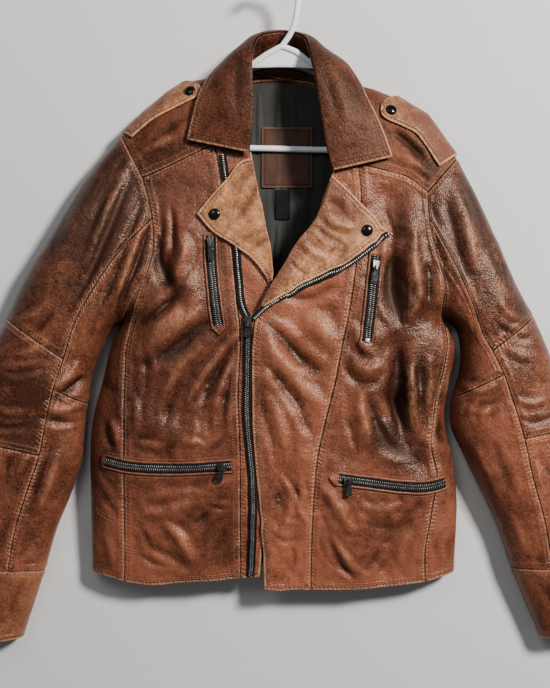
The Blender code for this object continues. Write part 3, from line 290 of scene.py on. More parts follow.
# Sleeves from armhole to cuff: outer and inner edge, height, share of the armhole's curve, and where
# the lengthwise seam crosses the top, from 0 at the outer edge to 1 at the inner one.
SLEEVE_COLUMNS = ("outer_x", "outer_y", "inner_x", "inner_y", "height", "curve", "seam")
RIGHT_SLEEVE_ROWS = [(-208, 284, -207, 30, 60, 1, 0.43), (-252, 232, -219, 25, 68, 0.6, 0.52),
    (-300, 156, -231, 10, 70, 0.25, 0.62), (-340, 90, -240, -13, 68, 0, 0.7), (-364, 36, -250, -42, 64, 0, 0.72),
    (-388, -12, -257, -80, 66, 0, 0.71), (-404, -66, -261, -120, 62, 0, 0.69), (-420, -125, -265, -160, 60, 0, 0.68),
    (-432, -185, -280, -205, 57, 0, 0.66), (-441, -240, -299, -252, 55, 0, 0.66),
    (-450, -300, -315, -307, 52, 0, 0.68), (-462, -408, -345, -399, 47, 0, 0.71)]
LEFT_SLEEVE_ROWS = [(247, 252, 230, 33, 60, 1, 0.43), (276, 196, 240, 30, 67, 0.6, 0.55),
    (304, 132, 250, 16, 69, 0.25, 0.66), (327, 82, 254, -8, 68, 0, 0.72), (350, 38, 252, -38, 64, 0, 0.62),
    (370, -6, 243, -72, 66, 0, 0.52), (386, -52, 240, -106, 62, 0, 0.47), (405, -112, 254, -142, 60, 0, 0.48),
    (419, -170, 277, -190, 57, 0, 0.52), (433, -230, 301, -240, 55, 0, 0.55), (448, -300, 323, -303, 52, 0, 0.6),
    (477, -378, 363, -399, 47, 0, 0.68)]
# The panels of a sleeve: the first and last of its rows, the finish and the tone.
SLEEVE_PANELS = {"upper_outer": (0, 4, "chestnut_leather", -0.26), "elbow_panel": (4, 7, "worn_leather", -0.28),
                 "forearm_outer": (7, 10, "chestnut_leather", -0.04),
                 "upper_inner": (0, 5, "chestnut_leather", -0.12), "forearm_inner": (5, 10, "chestnut_leather", -0.08),
                 "cuff": (10, 11, "worn_leather", 0.0)}
SLEEVE_PARTS = 24
SLEEVE_UNDER_SEAM = 0.5
SLEEVE_POWER = 2.6
SLEEVE_ROOT = 2.1

# Zips: the middle line of each, and where each slider sits.
MAIN_ZIP_LINE = path(-33, -312, -30, -246, -31, -170, -35, -130, -38, -94, -37, -40, -36, 32)
POCKET_LEAD = 5.0
POCKET_ZIPS = {
    "right_chest": [(-86, 143), (-85, 108), (-81, 66), (-75, 24)],
    "left_chest": [(134, 117), (130, 80), (126, 40), (121, 2)],
    "right_pocket": [(-226, -157), (-198, -163), (-153, -166), (-107, -165), (-58, -162)],
    "left_pocket": [(84, -179), (128, -185), (168, -190), (205, -191), (227, -186)],
}
SLIDERS = {"main": (-36, 30), "right_chest": (-86, 134), "left_chest": (132, 104), "right_pocket": (-70, -163),
           "left_pocket": (96, -181)}

# Snap fasteners with the lift of what each is set on, the label, its tab, the hanging loop and the lining.
SNAPS = {"right_lapel_snap": (-80, 172, LAPEL_LIFT), "left_lapel_snap": (121, 150, LAPEL_LIFT + OVERLAP_LIFT),
         "right_epaulette_snap": (-113, 338, EPAULETTE_LIFT), "left_epaulette_snap": (155, 312, EPAULETTE_LIFT)}
SNAP_RADIUS = 7.4
SNAP_HEIGHT = 3.6
SNAP_STAND = 0.5
SNAP_RIM = 0.8
SNAP_BROW = 0.15
LINING_LIFT = 2.5
FACING_LIFT = 2.6
LABEL_LAYER = 5.6
LABEL_CORNERS = (-18, 216, 51, 298)
FABRIC_TAB_CORNERS = (1, 172, 20, 212)
FABRIC_TAB = 1.2
LOOP_ENDS = (-10.0, 40.0)
LOOP_Y = 371.0
LOOP_Z = 6.6
LOOP_SAG = 7.0
LOOP_RISE = 3.0
LOOP_RADIUS = 1.5

# Clothes hanger: a plane that rises from its bar to its hook.
HANGER_ROD = 4.3
HANGER_BEND = 4.0
HANGER_HOOK_ROD = 3.9
BAR_Y = 272.0
BAR_Z = 12.2
HANGER_RISE = 0.207
HANGER_FRAME = path(-170, 278, -160, 272, 191, 264, 200, 267, 199, 275, 28, 395, 9, 402, -12, 391, -166, 290,
                    -173, 285)
HOOK_LINE = path(7, 399, 12, 406, 20, 417, 26, 431, 29, 446)
HOOK_DEGREES = (-20, 150)
HOOK_CENTRE = (8, 468)
HOOK_RADIUS = 24.0
ROD_UP = (0.0, -0.2, 0.98)

# Creases, each as half-width, rise and the places it runs through. A negative rise is a trough.
FRONT_CREASES = crease_table(
    # right front, chest and armhole
    (9, 3.4, -128, 150, 7, -28, -6, -18, -7, -22), (10, -4.2, -156, 146, 0, -34, 10, -24, 12, -16),
    (6, 1.8, -146, 176, 3, -36, -7, -32), (5, -1.6, -139, 188, 3, -30, -2, -30),
    (15, 3.6, -96, 66, -20, -22, -26, -22, -30, -24), (6, 1.8, -98, 50, -18, -18, -16, -12),
    (8, -2.4, -122, 78, -20, -24, -24, -20, -20, -12), (12, -2.8, -88, 34, -30, -30, -32, -22, -36, -12),
    (6, -1.6, -178, 2, 8, -42, -6, -40),
    # right front, fan of folds from the slider
    (6, 2.4, -53, 12, -23, -28, -24, -30, -20, -38), (7, -2.4, -54, 2, -18, -30, -18, -34, -8, -34),
    (5, 1.8, -55, -14, -13, -30, -11, -38, -3, -38), (5, -1.6, -56, -34, -8, -32, -6, -40),
    (4, 1.2, -58, -60, -4, -32, 2, -36), (10, 2, -108, -10, -26, -34, -18, -48),
    (7, -1.5, -122, -40, -18, -38, -8, -42), (4, 1, -108, -92, 2, -24, -6, -20), (5, 1.3, -190, -60, 6, -32, -4, -34),
    # right front, above and below its pocket
    (6, 1.7, -190, -128, 24, -8, 24, 2), (5, 1.4, -128, -136, 20, 6, 16, -6), (5, -1.2, -92, -146, 16, 12, 10, 16),
    (9, 3.2, -150, -236, 18, -20, 24, -36), (7, 1.8, -174, -209, 40, 9, 40, 3), (5, 1.8, -94, -194, 22, 8, 20, 6),
    (4, -1.8, -88, -214, 16, -6, 14, 6), (5, -1.4, -184, -282, 24, -14, 24, -4),
    (8, -2.2, -172, -268, 28, -16, 32, -20), (10, 2, -78, -188, -28, -18, -36, -16, -36, -4),
    (6, -1.5, -62, -196, -24, -26, -28, -22), (6, 1.4, -64, -236, -22, -26, -6, -32),
    (5, -1.2, -188, -240, 16, -22, 4, -28),
    # right side
    (6, 2.6, -219, -98, 6, -18, 2, -20), (6, -2.6, -228, -102, 4, -20, 8, -20), (6, 2, -240, -172, 12, -24, 14, -24),
    (6, -2.2, -236, -186, 14, -26, 10, -20), (8, -1.8, -236, -40, 14, -18, 14, -8),
    (7, 1.6, -232, -250, 10, -26, 2, -24),
    # left front, centre
    (14, 3.6, 34, 44, 16, -14, 22, -28, 4, -14), (8, 1.8, 28, 66, 18, 10, 28, 16, 16, 18),
    (7, -1.8, 6, 74, 20, -14, 24, 2, 28, 16), (10, -3.6, -16, 30, 26, -22, 22, -24, 38, -26),
    (11, 3.2, -14, 2, 24, -26, 22, -28, 24, -26, 8, -22), (8, -2.8, -14, -26, 26, -30, 22, -34, 12, -36),
    (8, 2.6, -16, -58, 16, -32, 12, -38, 4, -32), (5, -1.6, -16, -94, 10, -36, 6, -36),
    (5, 1.8, 8, -176, 12, -30, -2, -26, -14, -24), (4, -1.6, -2, -186, 10, -28, -2, -30),
    (4, 1.5, 28, -218, 10, -14, 8, -12), (5, 1.9, 32, -170, 4, -30, -6, -30), (3, -1.6, 10, -168, 16, -22, 13, -32),
    (3, 1.3, 4, -172, 16, -24, 14, -30), (3, -1.5, -8, -190, 9, -20, 0, -26, 7, -20),
    (3, -1.2, 36, -226, -12, -7, -12, 7), (6, 1.6, -10, -262, 6, -22, -2, -22), (4, -1.2, 20, -268, 6, -20, -6, -20),
    (5, -1.3, -8, -250, 22, -14, 24, 6),
    # left front, side, chest
    (12, -5, 162, 128, -6, -32, 2, -38, 10, -36), (9, 3, 188, 150, -4, -40, 6, -40, -8, -36),
    (7, 2.2, 140, 180, 6, -40, -6, -40), (7, 2, 206, 136, 13, -32, 0, -38, -17, -32),
    (6, -2.2, 200, 110, 5, -26, -2, -26), (9, 2.6, 98, -12, 20, -22, 28, 8), (8, 2.2, 104, 30, 8, -26, 14, -18),
    (7, -1.8, 92, -30, 20, -22, 28, 2), (11, -5.4, 165, 2, -1, -44, -2, -50, 8, -32, 14, -18),
    (12, -4, 122, -72, 14, -36, 18, -26, 26, -16), (10, 3.4, 112, -64, 4, -32, 10, -28),
    (9, 3.4, 178, -20, 3, -42, 5, -42, 18, -32), (8, 2.6, 206, -14, 1, -38, -5, -34),
    (7, 2.4, 148, -60, 4, -28, 12, -24), (5, -1.6, 92, -96, 12, -30, 6, -22), (6, 2, 212, -98, -5, -24, 7, -24),
    # left front, side, below its pocket
    (8, 3.2, 58, -184, 18, -22, 16, -26, 14, -20), (5, -1.2, 56, -210, 8, -22, 10, -18),
    (4, -1.4, 58, -250, 10, -34, 20, -20, 24, -12), (3, 1.2, 66, -250, 10, -26, 18, -20, 22, -12),
    (2.6, -0.9, 98, -197, 3, -14), (2.6, 0.9, 108, -198, 3, -14), (2.6, -0.9, 119, -199, 3, -14),
    (2.6, 0.9, 131, -200, 3, -14), (2.6, -1, 143, -201, 3, -14), (2.6, 0.9, 154, -201, 3, -14),
    (2.6, -0.9, 166, -201, 3, -14), (2.6, 0.8, 178, -200, 3, -14), (5, -2.6, 68, -256, 16, -34, 24, -28),
    (5, 2, 78, -258, 18, -30, 26, -24), (6, -1.8, 146, -262, -12, -24, -14, -24), (7, 1.8, 112, -214, 28, -8, 30, 8),
    (8, -1.6, 120, -236, 34, -10, 34, 10), (6, 1.6, 186, -250, -16, -22, -2, -28),
    (5, -1.4, 196, -206, -10, -16, -14, -8),
    # left side
    (6, -2.4, 224, -96, -4, -20, 6, -20), (6, 2, 238, -20, -6, -28, -2, -30), (6, 1.8, 236, -252, -10, -20, 2, -26),
    # yokes
    (9, 1.8, -196, 248, 36, 18, 40, 18), (6, -1.4, -178, 262, 36, 26, 34, 18), (8, 1.8, 214, 224, -34, 20, -40, 18),
    (6, -1.4, 206, 248, -36, 24, -38, 18), (7, 1.4, 120, 252, -10, 24, 6, 24), (6, -2.6, 156, 290, 28, -28, 22, -30))
RIGHT_SLEEVE_CREASES = crease_table(
    (7, 1.9, -190, 258, -24, -58, -22, -59, -24, -65), (9, -2.4, -192, 220, -24, -55, -24, -56, -35, -74),
    (10, 1.5, -232, 226, -30, -60, -30, -62), (6, 2, -170, 190, -24, -81, -28, -72),
    (5, -2.2, -163, 176, -21, -67, -30, -74), (5, -1.7, -178, 190, -30, -81, -30, -79),
    (6, 1.4, -240, 60, -14, -40, -12, -30), (7, 2.2, -300, 60, -18, -20, -26, -10),
    (6, -2, -292, 44, -20, -22, -34, -12), (6, 1.8, -302, 8, -24, -18, -26, -4),
    (6, -1.6, -310, -30, -26, -8, -30, 2), (8, 2.4, -262, -20, -16, -24, -22, -14),
    (7, -2.6, -256, -42, -20, -20, -26, -14), (6, 2.2, -258, -78, -24, -10, -26, 2),
    (6, -2, -264, -104, -26, 0, -28, 8), (5, 1.8, -326, -86, -24, -6, -26, 8),
    (5, -1.6, -330, -108, -26, -4, -34, 8), (5, 2, -328, -146, -10, -14, -6, -18),
    (5, -1.8, -346, -144, -10, -16, -4, -20), (5, 1.6, -364, -146, -10, -18, -2, -22),
    (5, -1.4, -382, -148, -10, -20, -2, -22), (9, 2.2, -288, -140, -14, -42, -16, -42),
    (7, -1.8, -304, -150, -14, -40, -16, -42), (8, 1.8, -368, -214, -16, -40, -12, -36),
    (7, -1.5, -352, -226, -14, -36, -12, -30), (6, 1.6, -318, -262, -12, -22, -18, -10),
    (6, -1.4, -338, -320, -14, -24, -6, -28), (7, 1.6, -392, -322, -10, -28, -4, -30))
LEFT_SLEEVE_CREASES = crease_table(
    (10, 3.2, 238, 216, 14, -44, 10, -42, 4, -38), (9, -3.2, 226, 196, 10, -46, 10, -46, 6, -38),
    (8, -2.4, 256, 214, 20, -46, 16, -46, 12, -34), (9, 2.2, 268, 190, 22, -48, 22, -46),
    (7, 2, 240, 120, 10, -36, 12, -34), (6, -1.8, 260, 60, 10, -30, 14, -28), (6, 2.2, 296, 58, 18, -20, 24, -4),
    (6, -2, 292, 30, 22, -18, 32, -6), (6, 1.8, 300, 0, 24, -14, 28, -4), (7, 2.6, 250, -52, 22, -10, 22, 10),
    (6, -2.6, 252, -76, 24, -6, 26, 10), (5, 2, 258, -98, 6, 14, 8, 10), (5, 1.8, 274, -106, 4, 14, 6, 10),
    (5, -1.8, 286, -104, 6, 14, 4, 10), (5, 1.8, 316, -70, 24, -10, 24, 8), (5, -1.8, 320, -98, 26, -6, 30, 10),
    (5, 2, 346, -156, 6, -16, 2, -20), (5, -1.8, 360, -158, 8, -18, 2, -22), (5, 1.6, 378, -158, 10, -20, 2, -22),
    (8, 2.2, 268, -134, 20, -40, 18, -40), (7, -2, 288, -128, 18, -40, 16, -40),
    (7, 1.8, 316, -226, 12, -30, 12, -28), (7, -1.6, 380, -222, 14, -36, 12, -32),
    (8, 1.6, 398, -208, 14, -40, 12, -38), (6, -1.4, 356, -322, 16, -26, 10, -26),
    (7, 1.6, 404, -318, 14, -28, 10, -26))
SLEEVE_DEPTHS = {"right": 1.6, "left": 0.95}
BACK_CREASES = crease_table(
    (14, 2, -150, 200, 30, -50, 40, -40, 50, -26), (12, 1.8, 160, 190, -30, -50, -44, -36, -50, -20),
    (10, 1.6, -170, 60, 40, -30, 50, -18), (10, 1.6, 176, 40, -44, -24, -54, -20),
    (12, 1.8, -180, -70, 60, -30, 70, -4), (12, 1.7, 170, -90, -60, -36, -70, 4),
    (9, 1.4, -130, -180, 46, -30, 54, 6), (9, 1.4, 140, -190, -48, -36, -56, -4),
    (8, 1.2, -60, 300, 40, -14, 50, 4, 36, 16), (9, 1.3, -20, 40, -6, -60, 10, -50),
    (8, 1.2, 60, -250, -4, -30, 8, -20), (8, 1.2, -150, -240, 10, -30, -8, -26))
SLEEVE_BACK_CREASES = crease_table(
    (12, 2.2, 232, 200, 30, -50, 18, -54), (9, 2, 250, 60, 40, -20, 40, 4), (8, 2, 246, -10, 44, -10, 50, 16),
    (8, 2.2, 250, -60, 46, -6, 56, 26), (9, 1.8, 262, -120, 54, -4, 54, 24), (10, 1.8, 300, -180, 22, -46, 28, -36),
    (9, 1.6, 372, -180, 18, -46, 14, -40))

# Patches where the leather is crumpled: place in plan, radius and depth.
CRUMPLED = [(196, 70, 46, 1.5), (190, -60, 50, 1.4), (-170, 60, 40, 1), (-90, 30, 40, 0.6), (140, 170, 40, 1),
    (96, -216, 44, 1.6), (20, -40, 40, 1.1), (-130, -220, 50, 1.4), (20, -230, 44, 1.8), (170, -270, 50, 1.4),
    (-90, -60, 40, 1), (50, 60, 36, 1), (-140, -120, 40, 0.9)]

# Patches where the colour is lighter (above 0) or darker: place in plan, radius and change. Most are uneven tone; those
# noted below are painted light and shade.
TONE_AND_PAINTED_LIGHT_SPOTS = [(-126, 118, 26, 0.1), (-134, 30, 40, 0.1), (-118, -60, 60, -0.1), (-190, -90, 40, -0.16),
    (-152, 120, 30, -0.3), (-60, 60, 34, 0.06), (-140, -250, 60, 0.16), (-90, -300, 40, 0.12), (-160, -310, 50, 0.3),
    (-228, -260, 40, 0.22), (-222, -60, 40, -0.12), (-70, -190, 40, 0.12), (40, 40, 40, 0.1), (10, -120, 50, 0.06),
    # (162, -60) and (146, -126) here, and (168, -146), (190, -158) and (166, -100) further on, are painted shade in the
    # deep folds of the left front's side.
    (30, -250, 50, 0.12), (90, 50, 40, 0.14), (150, 70, 30, -0.22), (162, -60, 22, -0.5), (146, -126, 20, -0.6),
    (205, -60, 34, -0.3), (100, -100, 40, 0.12), (130, -230, 60, 0.02), (200, -300, 50, 0.26), (60, -320, 60, 0.22),
    (190, 20, 60, -0.24), (176, -80, 46, -0.14), (262, 150, 70, -0.1), (320, 40, 60, -0.1), (-232, 170, 60, -0.22),
    (-190, 60, 40, -0.2), (-300, -50, 60, -0.14), (410, -340, 60, -0.34), (-380, -200, 60, 0.06),
    (140, -322, 60, 0.18), (230, -230, 26, 0.34), (170, -190, 50, 0.04), (200, 150, 36, -0.12),
    (168, -146, 20, -0.6), (190, -158, 18, -0.5), (166, -100, 16, -0.4), (190, 60, 50, -0.14),
    # (76, -224) here is a painted highlight on a slope below the left pocket.
    (-150, 250, 50, -0.16), (16, 30, 40, 0.1), (-180, -200, 34, -0.16), (-70, -250, 30, -0.14), (76, -224, 30, 0.24),
    (14, -214, 18, -0.2), (128, -282, 22, -0.16), (130, -290, 30, -0.16), (410, -340, 50, -0.2), (170, 240, 40, 0.2),
    # These three spots are a painted shadow band beside the left epaulette.
    (206, 236, 13, -0.4), (190, 258, 12, -0.35), (172, 276, 12, -0.25)]
RIGHT_LAPEL_CREASES = crease_table(
    (7, 1.6, -30, 226, -14, -26, -18, -20), (6, -1.3, -24, 206, -16, -26, -16, -20),
    (6, 1.4, -16, 168, -16, -18, -20, -8), (5, -1, -10, 140, -14, -12, -18, -4),
    (5, 1, -64, 210, -12, -18, -16, -16), (3, 1.1, -62, 150, -4, -9, -6, -5), (3, -1, -50, 134, -6, -7, -4, -7),
    (3, 1.1, -36, 116, -6, -7, -4, -5))
LEFT_LAPEL_CREASES = crease_table(
    (8, -2.4, 70, 190, 12, -8, 10, -12), (7, 1.8, 60, 176, 20, -16, 24, -8), (5, -1.3, 52, 156, 18, -16, 22, -8),
    (5, 1.2, 36, 134, 18, -16, 20, -6), (4, -1, 20, 108, 16, -14, 16, -2), (4, 1, 66, 104, 8, 8, 6, 12),
    (4, -0.9, 84, 112, 6, 10, 4, 10), (4, 0.9, 100, 122, 6, 10, 6, 10), (3, 1.3, 30, 92, -3, -8, -1, -7),
    (3, -1.2, 38, 97, -2, -9, 0, -7), (3, 1.2, 48, 102, -2, -9, 0, -7), (3, -1.1, 58, 107, -1, -9, 1, -7),
    (3, 1.1, 68, 112, 0, -9, 2, -7))
COLLAR_CREASES = crease_table(
    (9, 1.8, -52, 396, -10, -36, -2, -42, 6, -34), (7, -1.2, -44, 390, -6, -40, 0, -40),
    (6, 1.2, -86, 350, -6, -28, -4, -26), (9, 1.6, 62, 390, 16, -30, 10, -36, 8, -32),
    (7, -1.4, 70, 350, 8, -32, 8, -28), (6, 1.5, 108, 330, 10, -26, 8, -20), (5, -1.3, 96, 296, 16, -12, 14, -4),
    (5, 1.3, 86, 268, 18, 0, 18, 8), (4, -1, 82, 254, 14, 4, 14, 8), (8, 1.4, -20, 418, 26, 6, 26, -4))
RIGHT_OPEN_TAPE = path(-37, 36, -42, 46, -47.5, 85, -51, 125, -57, 170, -66, 225, -70, 252)
LEFT_OPEN_TAPE = path(-28, 34, -14, 47.5, 26, 70.5, 66, 89.5, 99.5, 107.5, 127, 127.8, 149, 147)
POCKET_FRAME_WIDTH = 18.0
POCKET_STITCHES = 24.0
POCKET_POINT = 12.0
LAPEL_EASE = 0.6
MAIN_PITCH = 2.8
CHEST_STOP = [(121.5, 4), (121.2, 2)]
LEFT_TAPE_LIFT = 7.0
PATCH_STITCHES = [[(-241, -221), (-226, -230), (-208, -236)], [(-241, -226), (-226, -235), (-208, -241)],
                  [(218, -214), (218, -230), (218, -246)], [(218, -246), (230, -244), (242, -240)]]
HANGER_WEB_FOOT = path(-32, 375.5, -14, 376, 4, 376.5, 28, 376, 54, 374.5)
HANGER_WEB_TOP = path(-32, 378, -12, 390, 2, 400, 9, 404, 26, 394, 54, 377)
LINING_TOP = path(-50, 356, -20, 359, 11, 361, 42, 357, 70, 349)
LINING_RIGHT = path(-120, 45, -120, 200, -118, 300, -74, 343, -50, 356)
LINING_LEFT = path(150, 45, 150, 200, 150, 283, 98, 322, 70, 349)
FACING_LOWER = path(-51, 358, -30, 361, -8, 363, 14, 363, 36, 361, 55, 358, 73, 354)
FACING_UPPER = path(-46, 368, -26, 376, -4, 379, 20, 379, 42, 373, 55, 368, 66, 362)
LINING_CREASES = crease_table(
    (3, 3, 5, 170, -1, -40, -2, -40, -2, -20), (2.6, -2, 0, 170, -1, -40, -2, -40),
    (3, 1.6, -22, 350, 0, -60, 2, -60), (3, 1.6, 26, 352, 1, -52, -1, -60), (5, 2.4, 2, 165, 1, 55, 2, 80, 1, 50),
    (4, 1.6, 12, 160, 0, 50, 2, 50), (9, 1.8, -26, 180, -4, 50, -4, 70), (7, 1.5, -46, 230, -2, 50, 4, 50),
    (8, 1.6, 34, 150, 6, 40, 2, 50), (8, 1.4, 60, 190, 4, 50, 2, 60), (10, 1.2, -10, 110, 4, 40, -2, 40),
    (8, 1.4, 22, 120, 2, 40, -4, 40))

# Rows of stitches: the panel, its side, the distances in from that side, and the share of it that they run over.
STITCHING = [
    ("right_front", "b", (4.2,)), ("right_front", "r", (3.2, 9.5)), ("right_front", "l", (3.2,)),
    ("right_front_edge", "r", (3,)), ("left_front_centre", "b", (4.2,)), ("left_front_centre", "l", (3.5, 9.5)),
    ("left_front_centre", "r", (3.2,)), ("left_front_side", "b", (4.2,)), ("left_front_side", "l", (3.2,)),
    ("left_front_side", "r", (3.2,)), ("right_lapel", "l", (3.4, 9)), ("right_lapel", "t", (3.4, 9), 0, 0.85),
    ("left_lapel", "r", (3.4, 9)), ("left_lapel", "t", (3.4, 9), 0.15, 1), ("collar_leaf", "t", (3.4, 9.4)),
    ("collar_leaf", "l", (3.4,)), ("collar_leaf", "r", (3.4,))]
STITCHING += [(side + part, *row) for side in ("right_", "left_") for part, *row in (
    ("yoke", "l", (3.2, 9.5)), ("side_panel", "b", (4.2,)), ("side_panel", "l", (3.2,)), ("epaulette", "l", (3, 9)),
    ("epaulette", "r", (3, 9)), ("epaulette", "t", (3,)), ("elbow_panel", "b", (3, 8.5)),
    ("elbow_panel", "t", (3, 8.5)), ("upper_inner", "r", (3.2,)), ("upper_inner", "b", (3.2,), 0.5, 1),
    ("forearm_inner", "r", (3.2,)), ("upper_outer", "b", (3.2,), 0, 0.5), ("upper_outer", "l", (3.2,)),
    ("forearm_outer", "l", (3.2,)), ("cuff", "b", (3,)), ("cuff", "t", (9,)))]


# --- shapes in numbers


def table(columns, rows):
    """A table's columns by name, as arrays."""
    return dict(zip(columns, np.array(rows, float).T))


def unit(ways):
    """The same ways, each of length 1."""
    return ways / np.maximum(np.linalg.norm(ways, axis=-1, keepdims=True), 1e-9)


def run_of(line):
    """How far along a line each of its points is."""
    return np.concatenate([[0], np.cumsum(np.linalg.norm(np.diff(line, axis=0), axis=1))])


def sample(at, stations, line):
    """A line's points, or other rows of numbers, read at places along it."""
    return np.stack([np.interp(at, stations, axis) for axis in line.T], -1)


def refine(grid, step=None, axis=0, parts=None):
    """More places along one axis of a grid, on smooth curves through its own ones: a step apart, or so many
    parts to each stretch."""
    grid = np.moveaxis(np.asarray(grid, float), axis, 0)
    runs = np.linalg.norm(np.diff(grid, axis=0), axis=-1)
    lengths = np.maximum(runs.reshape(len(runs), -1).mean(1), 1e-6)
    shape = (-1,) + (1,) * (grid.ndim - 1)
    spans = lengths.reshape(shape)
    slopes = np.diff(grid, axis=0) / spans
    turns = np.empty_like(grid)
    turns[:] = slopes[0]
    if len(grid) > 2:
        turns[1:-1] = (slopes[1:] * spans[:-1] + slopes[:-1] * spans[1:]) / (spans[:-1] + spans[1:])
        turns[0] = 1.5 * slopes[0] - 0.5 * turns[1]
        turns[-1] = 1.5 * slopes[-1] - 0.5 * turns[-2]
    made = []
    for i, length in enumerate(lengths):
        count = parts or max(1, round(length / step))
        s = (np.arange(count) / count).reshape(shape)
        made.append(grid[i] * (2 * s**3 - 3 * s**2 + 1) + grid[i + 1] * (3 * s**2 - 2 * s**3)
                    + (turns[i] * (s**3 - 2 * s**2 + s) + turns[i + 1] * (s**3 - s**2)) * length)
    made.append(grid[-1:])
    return np.moveaxis(np.concatenate(made), 0, axis)


def spread(line, count):
    """count + 1 points evenly along a polyline."""
    line = np.array(line, float)
    stations = run_of(line)
    return sample(np.linspace(0, stations[-1], count + 1), stations, line)


def even(rows, step):
    """Rows of points, each spread evenly over as many places as the longest needs."""
    longest = max(run_of(row)[-1] for row in rows)
    return np.array([spread(row, max(2, round(longest / step))) for row in rows])


def smooth_step(low, high, value):
    share = np.clip((value - low) / (high - low), 0, 1)
    return share * share * (3 - 2 * share)


def wobble(places, size, seed=0):
    """Smooth uneven numbers from -1 to 1 over places in space, that change over about size."""
    at = np.asarray(places, float) / size + seed * 17.31
    cell = np.floor(at)
    share = at - cell
    share = share * share * (3 - 2 * share)
    total = np.zeros(at.shape[:-1])
    for corner in itertools.product((0, 1), repeat=at.shape[-1]):
        mark = (cell + corner) @ np.array([127.1, 311.7, 74.7])[:at.shape[-1]]
        value = np.sin(mark) * 43758.5453
        weight = np.where(np.array(corner) == 1, share, 1 - share).prod(-1)
        total += weight * (value - np.floor(value))
    return total * 2 - 1


def nearest(x, y, start, end):
    """The share of a stretch at which it comes nearest to places in plan, and how far off it is there."""
    run = np.subtract(end, start)
    share = np.clip(((x - start[0]) * run[0] + (y - start[1]) * run[1]) / (run @ run), 0, 1)
    return share, np.hypot(x - start[0] - share * run[0], y - start[1] - share * run[1])


def crease_relief(x, y, rows):
    """The rise of creases over places in plan. Each fades out at its ends and has a soft bank on
    either side."""
    relief = np.zeros(x.shape)
    for width, rise, line in rows:
        line = refine(line, CREASE_STEP)
        reach = width * CREASE_REACH
        (left, low), (right, high) = line.min(0) - reach, line.max(0) + reach
        near = (x > left) & (x < right) & (y > low) & (y < high)
        if not near.any():
            continue
        px, py = x[near], y[near]
        away, share = np.full(px.shape, 1e9), np.zeros(px.shape)
        stations = run_of(line)
        for start, end, done, reached in zip(line, line[1:], stations, stations[1:]):
            along, gap = nearest(px, py, start, end)
            share = np.where(gap < away, (done + along * (reached - done)) / stations[-1], share)
            away = np.minimum(gap, away)
        taper = np.sin(np.pi * np.clip(share, 0.001, 0.999)) ** 0.7
        off = away / (width * (0.5 + 0.5 * taper))
        relief[near] += rise * taper * (np.exp(-1.7 * off**2) - 0.3 * np.exp(-((off - 1.75) / 0.55) ** 2))
    return relief


BODY = table(BODY_COLUMNS, BODY_ROWS)
BODY_FINE = table(BODY_COLUMNS, refine(BODY_ROWS, 4))
COLLAR = table(COLLAR_COLUMNS, refine(COLLAR_ROWS, 3.4))


def rounding(depth):
    """0 at a fold's edge, rising round it to 1 on the flat."""
    return (1 - np.clip(1 - depth, 0, 1) ** FOLD_POWER) ** (1 / FOLD_POWER)


def shoulder_depth(x, y):
    """How far a point lies below the nearer shoulder line, measured across that line."""
    depth = np.full(np.shape(x), 1e3)
    for line in (RIGHT_SHOULDER, LEFT_SHOULDER):
        for (x0, y0), (x1, y1) in zip(line, line[1:]):
            across = ((x - x0) * (y1 - y0) - (y - y0) * (x1 - x0)) / math.hypot(x1 - x0, y1 - y0)
            depth = np.minimum(depth, across if x1 > x0 else -across)
    return depth


def calm(x, y):
    """1 on open leather, falling to 0 round each slider and snap, where the leather lies as its frame does."""
    still = np.ones(np.shape(x))
    for place in (*SLIDERS.values(), *SNAPS.values()):
        still = still * (1 - np.exp(-(((x - place[0]) ** 2 + (y - place[1]) ** 2) / CALM_REACH**2) ** 1.5))
    return still


def front_shape(x, y):
    """Height of the middle of the front's leather before its smaller creases, and how far round its folds."""
    right, left, height = (np.interp(y, BODY_FINE["y"], BODY_FINE[key])
                           for key in ("right_edge", "left_edge", "height"))
    height = height * (1 - CROWN_DROP * (x / HALF_CHEST) ** 2)
    folds = rounding((x - right) / SIDE_ROUND) * rounding((left - x) / SIDE_ROUND)
    folds = folds * rounding(shoulder_depth(x, y) / SHOULDER_ROUND)
    rises = sum(rise * np.exp(-((nearest(x, y, (x0, y0), (x1, y1))[1] / width) ** 2) * FOLD_SPREAD)
                for x0, y0, x1, y1, width, rise in FRONT_FOLDS)
    return FOLD_HEIGHT + (height - FOLD_HEIGHT) * folds + rises * folds**3, folds


def relief_table():
    """The smaller creases of the front over an even table of places."""
    x, y = np.meshgrid(np.arange(RELIEF_LOW[0], RELIEF_HIGH[0], RELIEF_STEP),
                       np.arange(RELIEF_LOW[1], RELIEF_HIGH[1], RELIEF_STEP), indexing="ij")
    places = np.stack([x, y], -1)
    relief = 1.5 * crease_relief(x, y, FRONT_CREASES)
    relief = relief + 1.0 * wobble(places, 34, 1) + 0.75 * wobble(places, 16, 2) + 0.36 * wobble(places, 8, 3)
    for middle_x, middle_y, radius, depth in CRUMPLED:
        share = depth * np.exp(-((x - middle_x) ** 2 + (y - middle_y) ** 2) / radius**2)
        relief = relief + share * (0.8 - 2 * abs(wobble(places, 24, 61)) + 0.6 * wobble(places, 11, 62))
    return relief * calm(x, y)


RELIEF = relief_table()


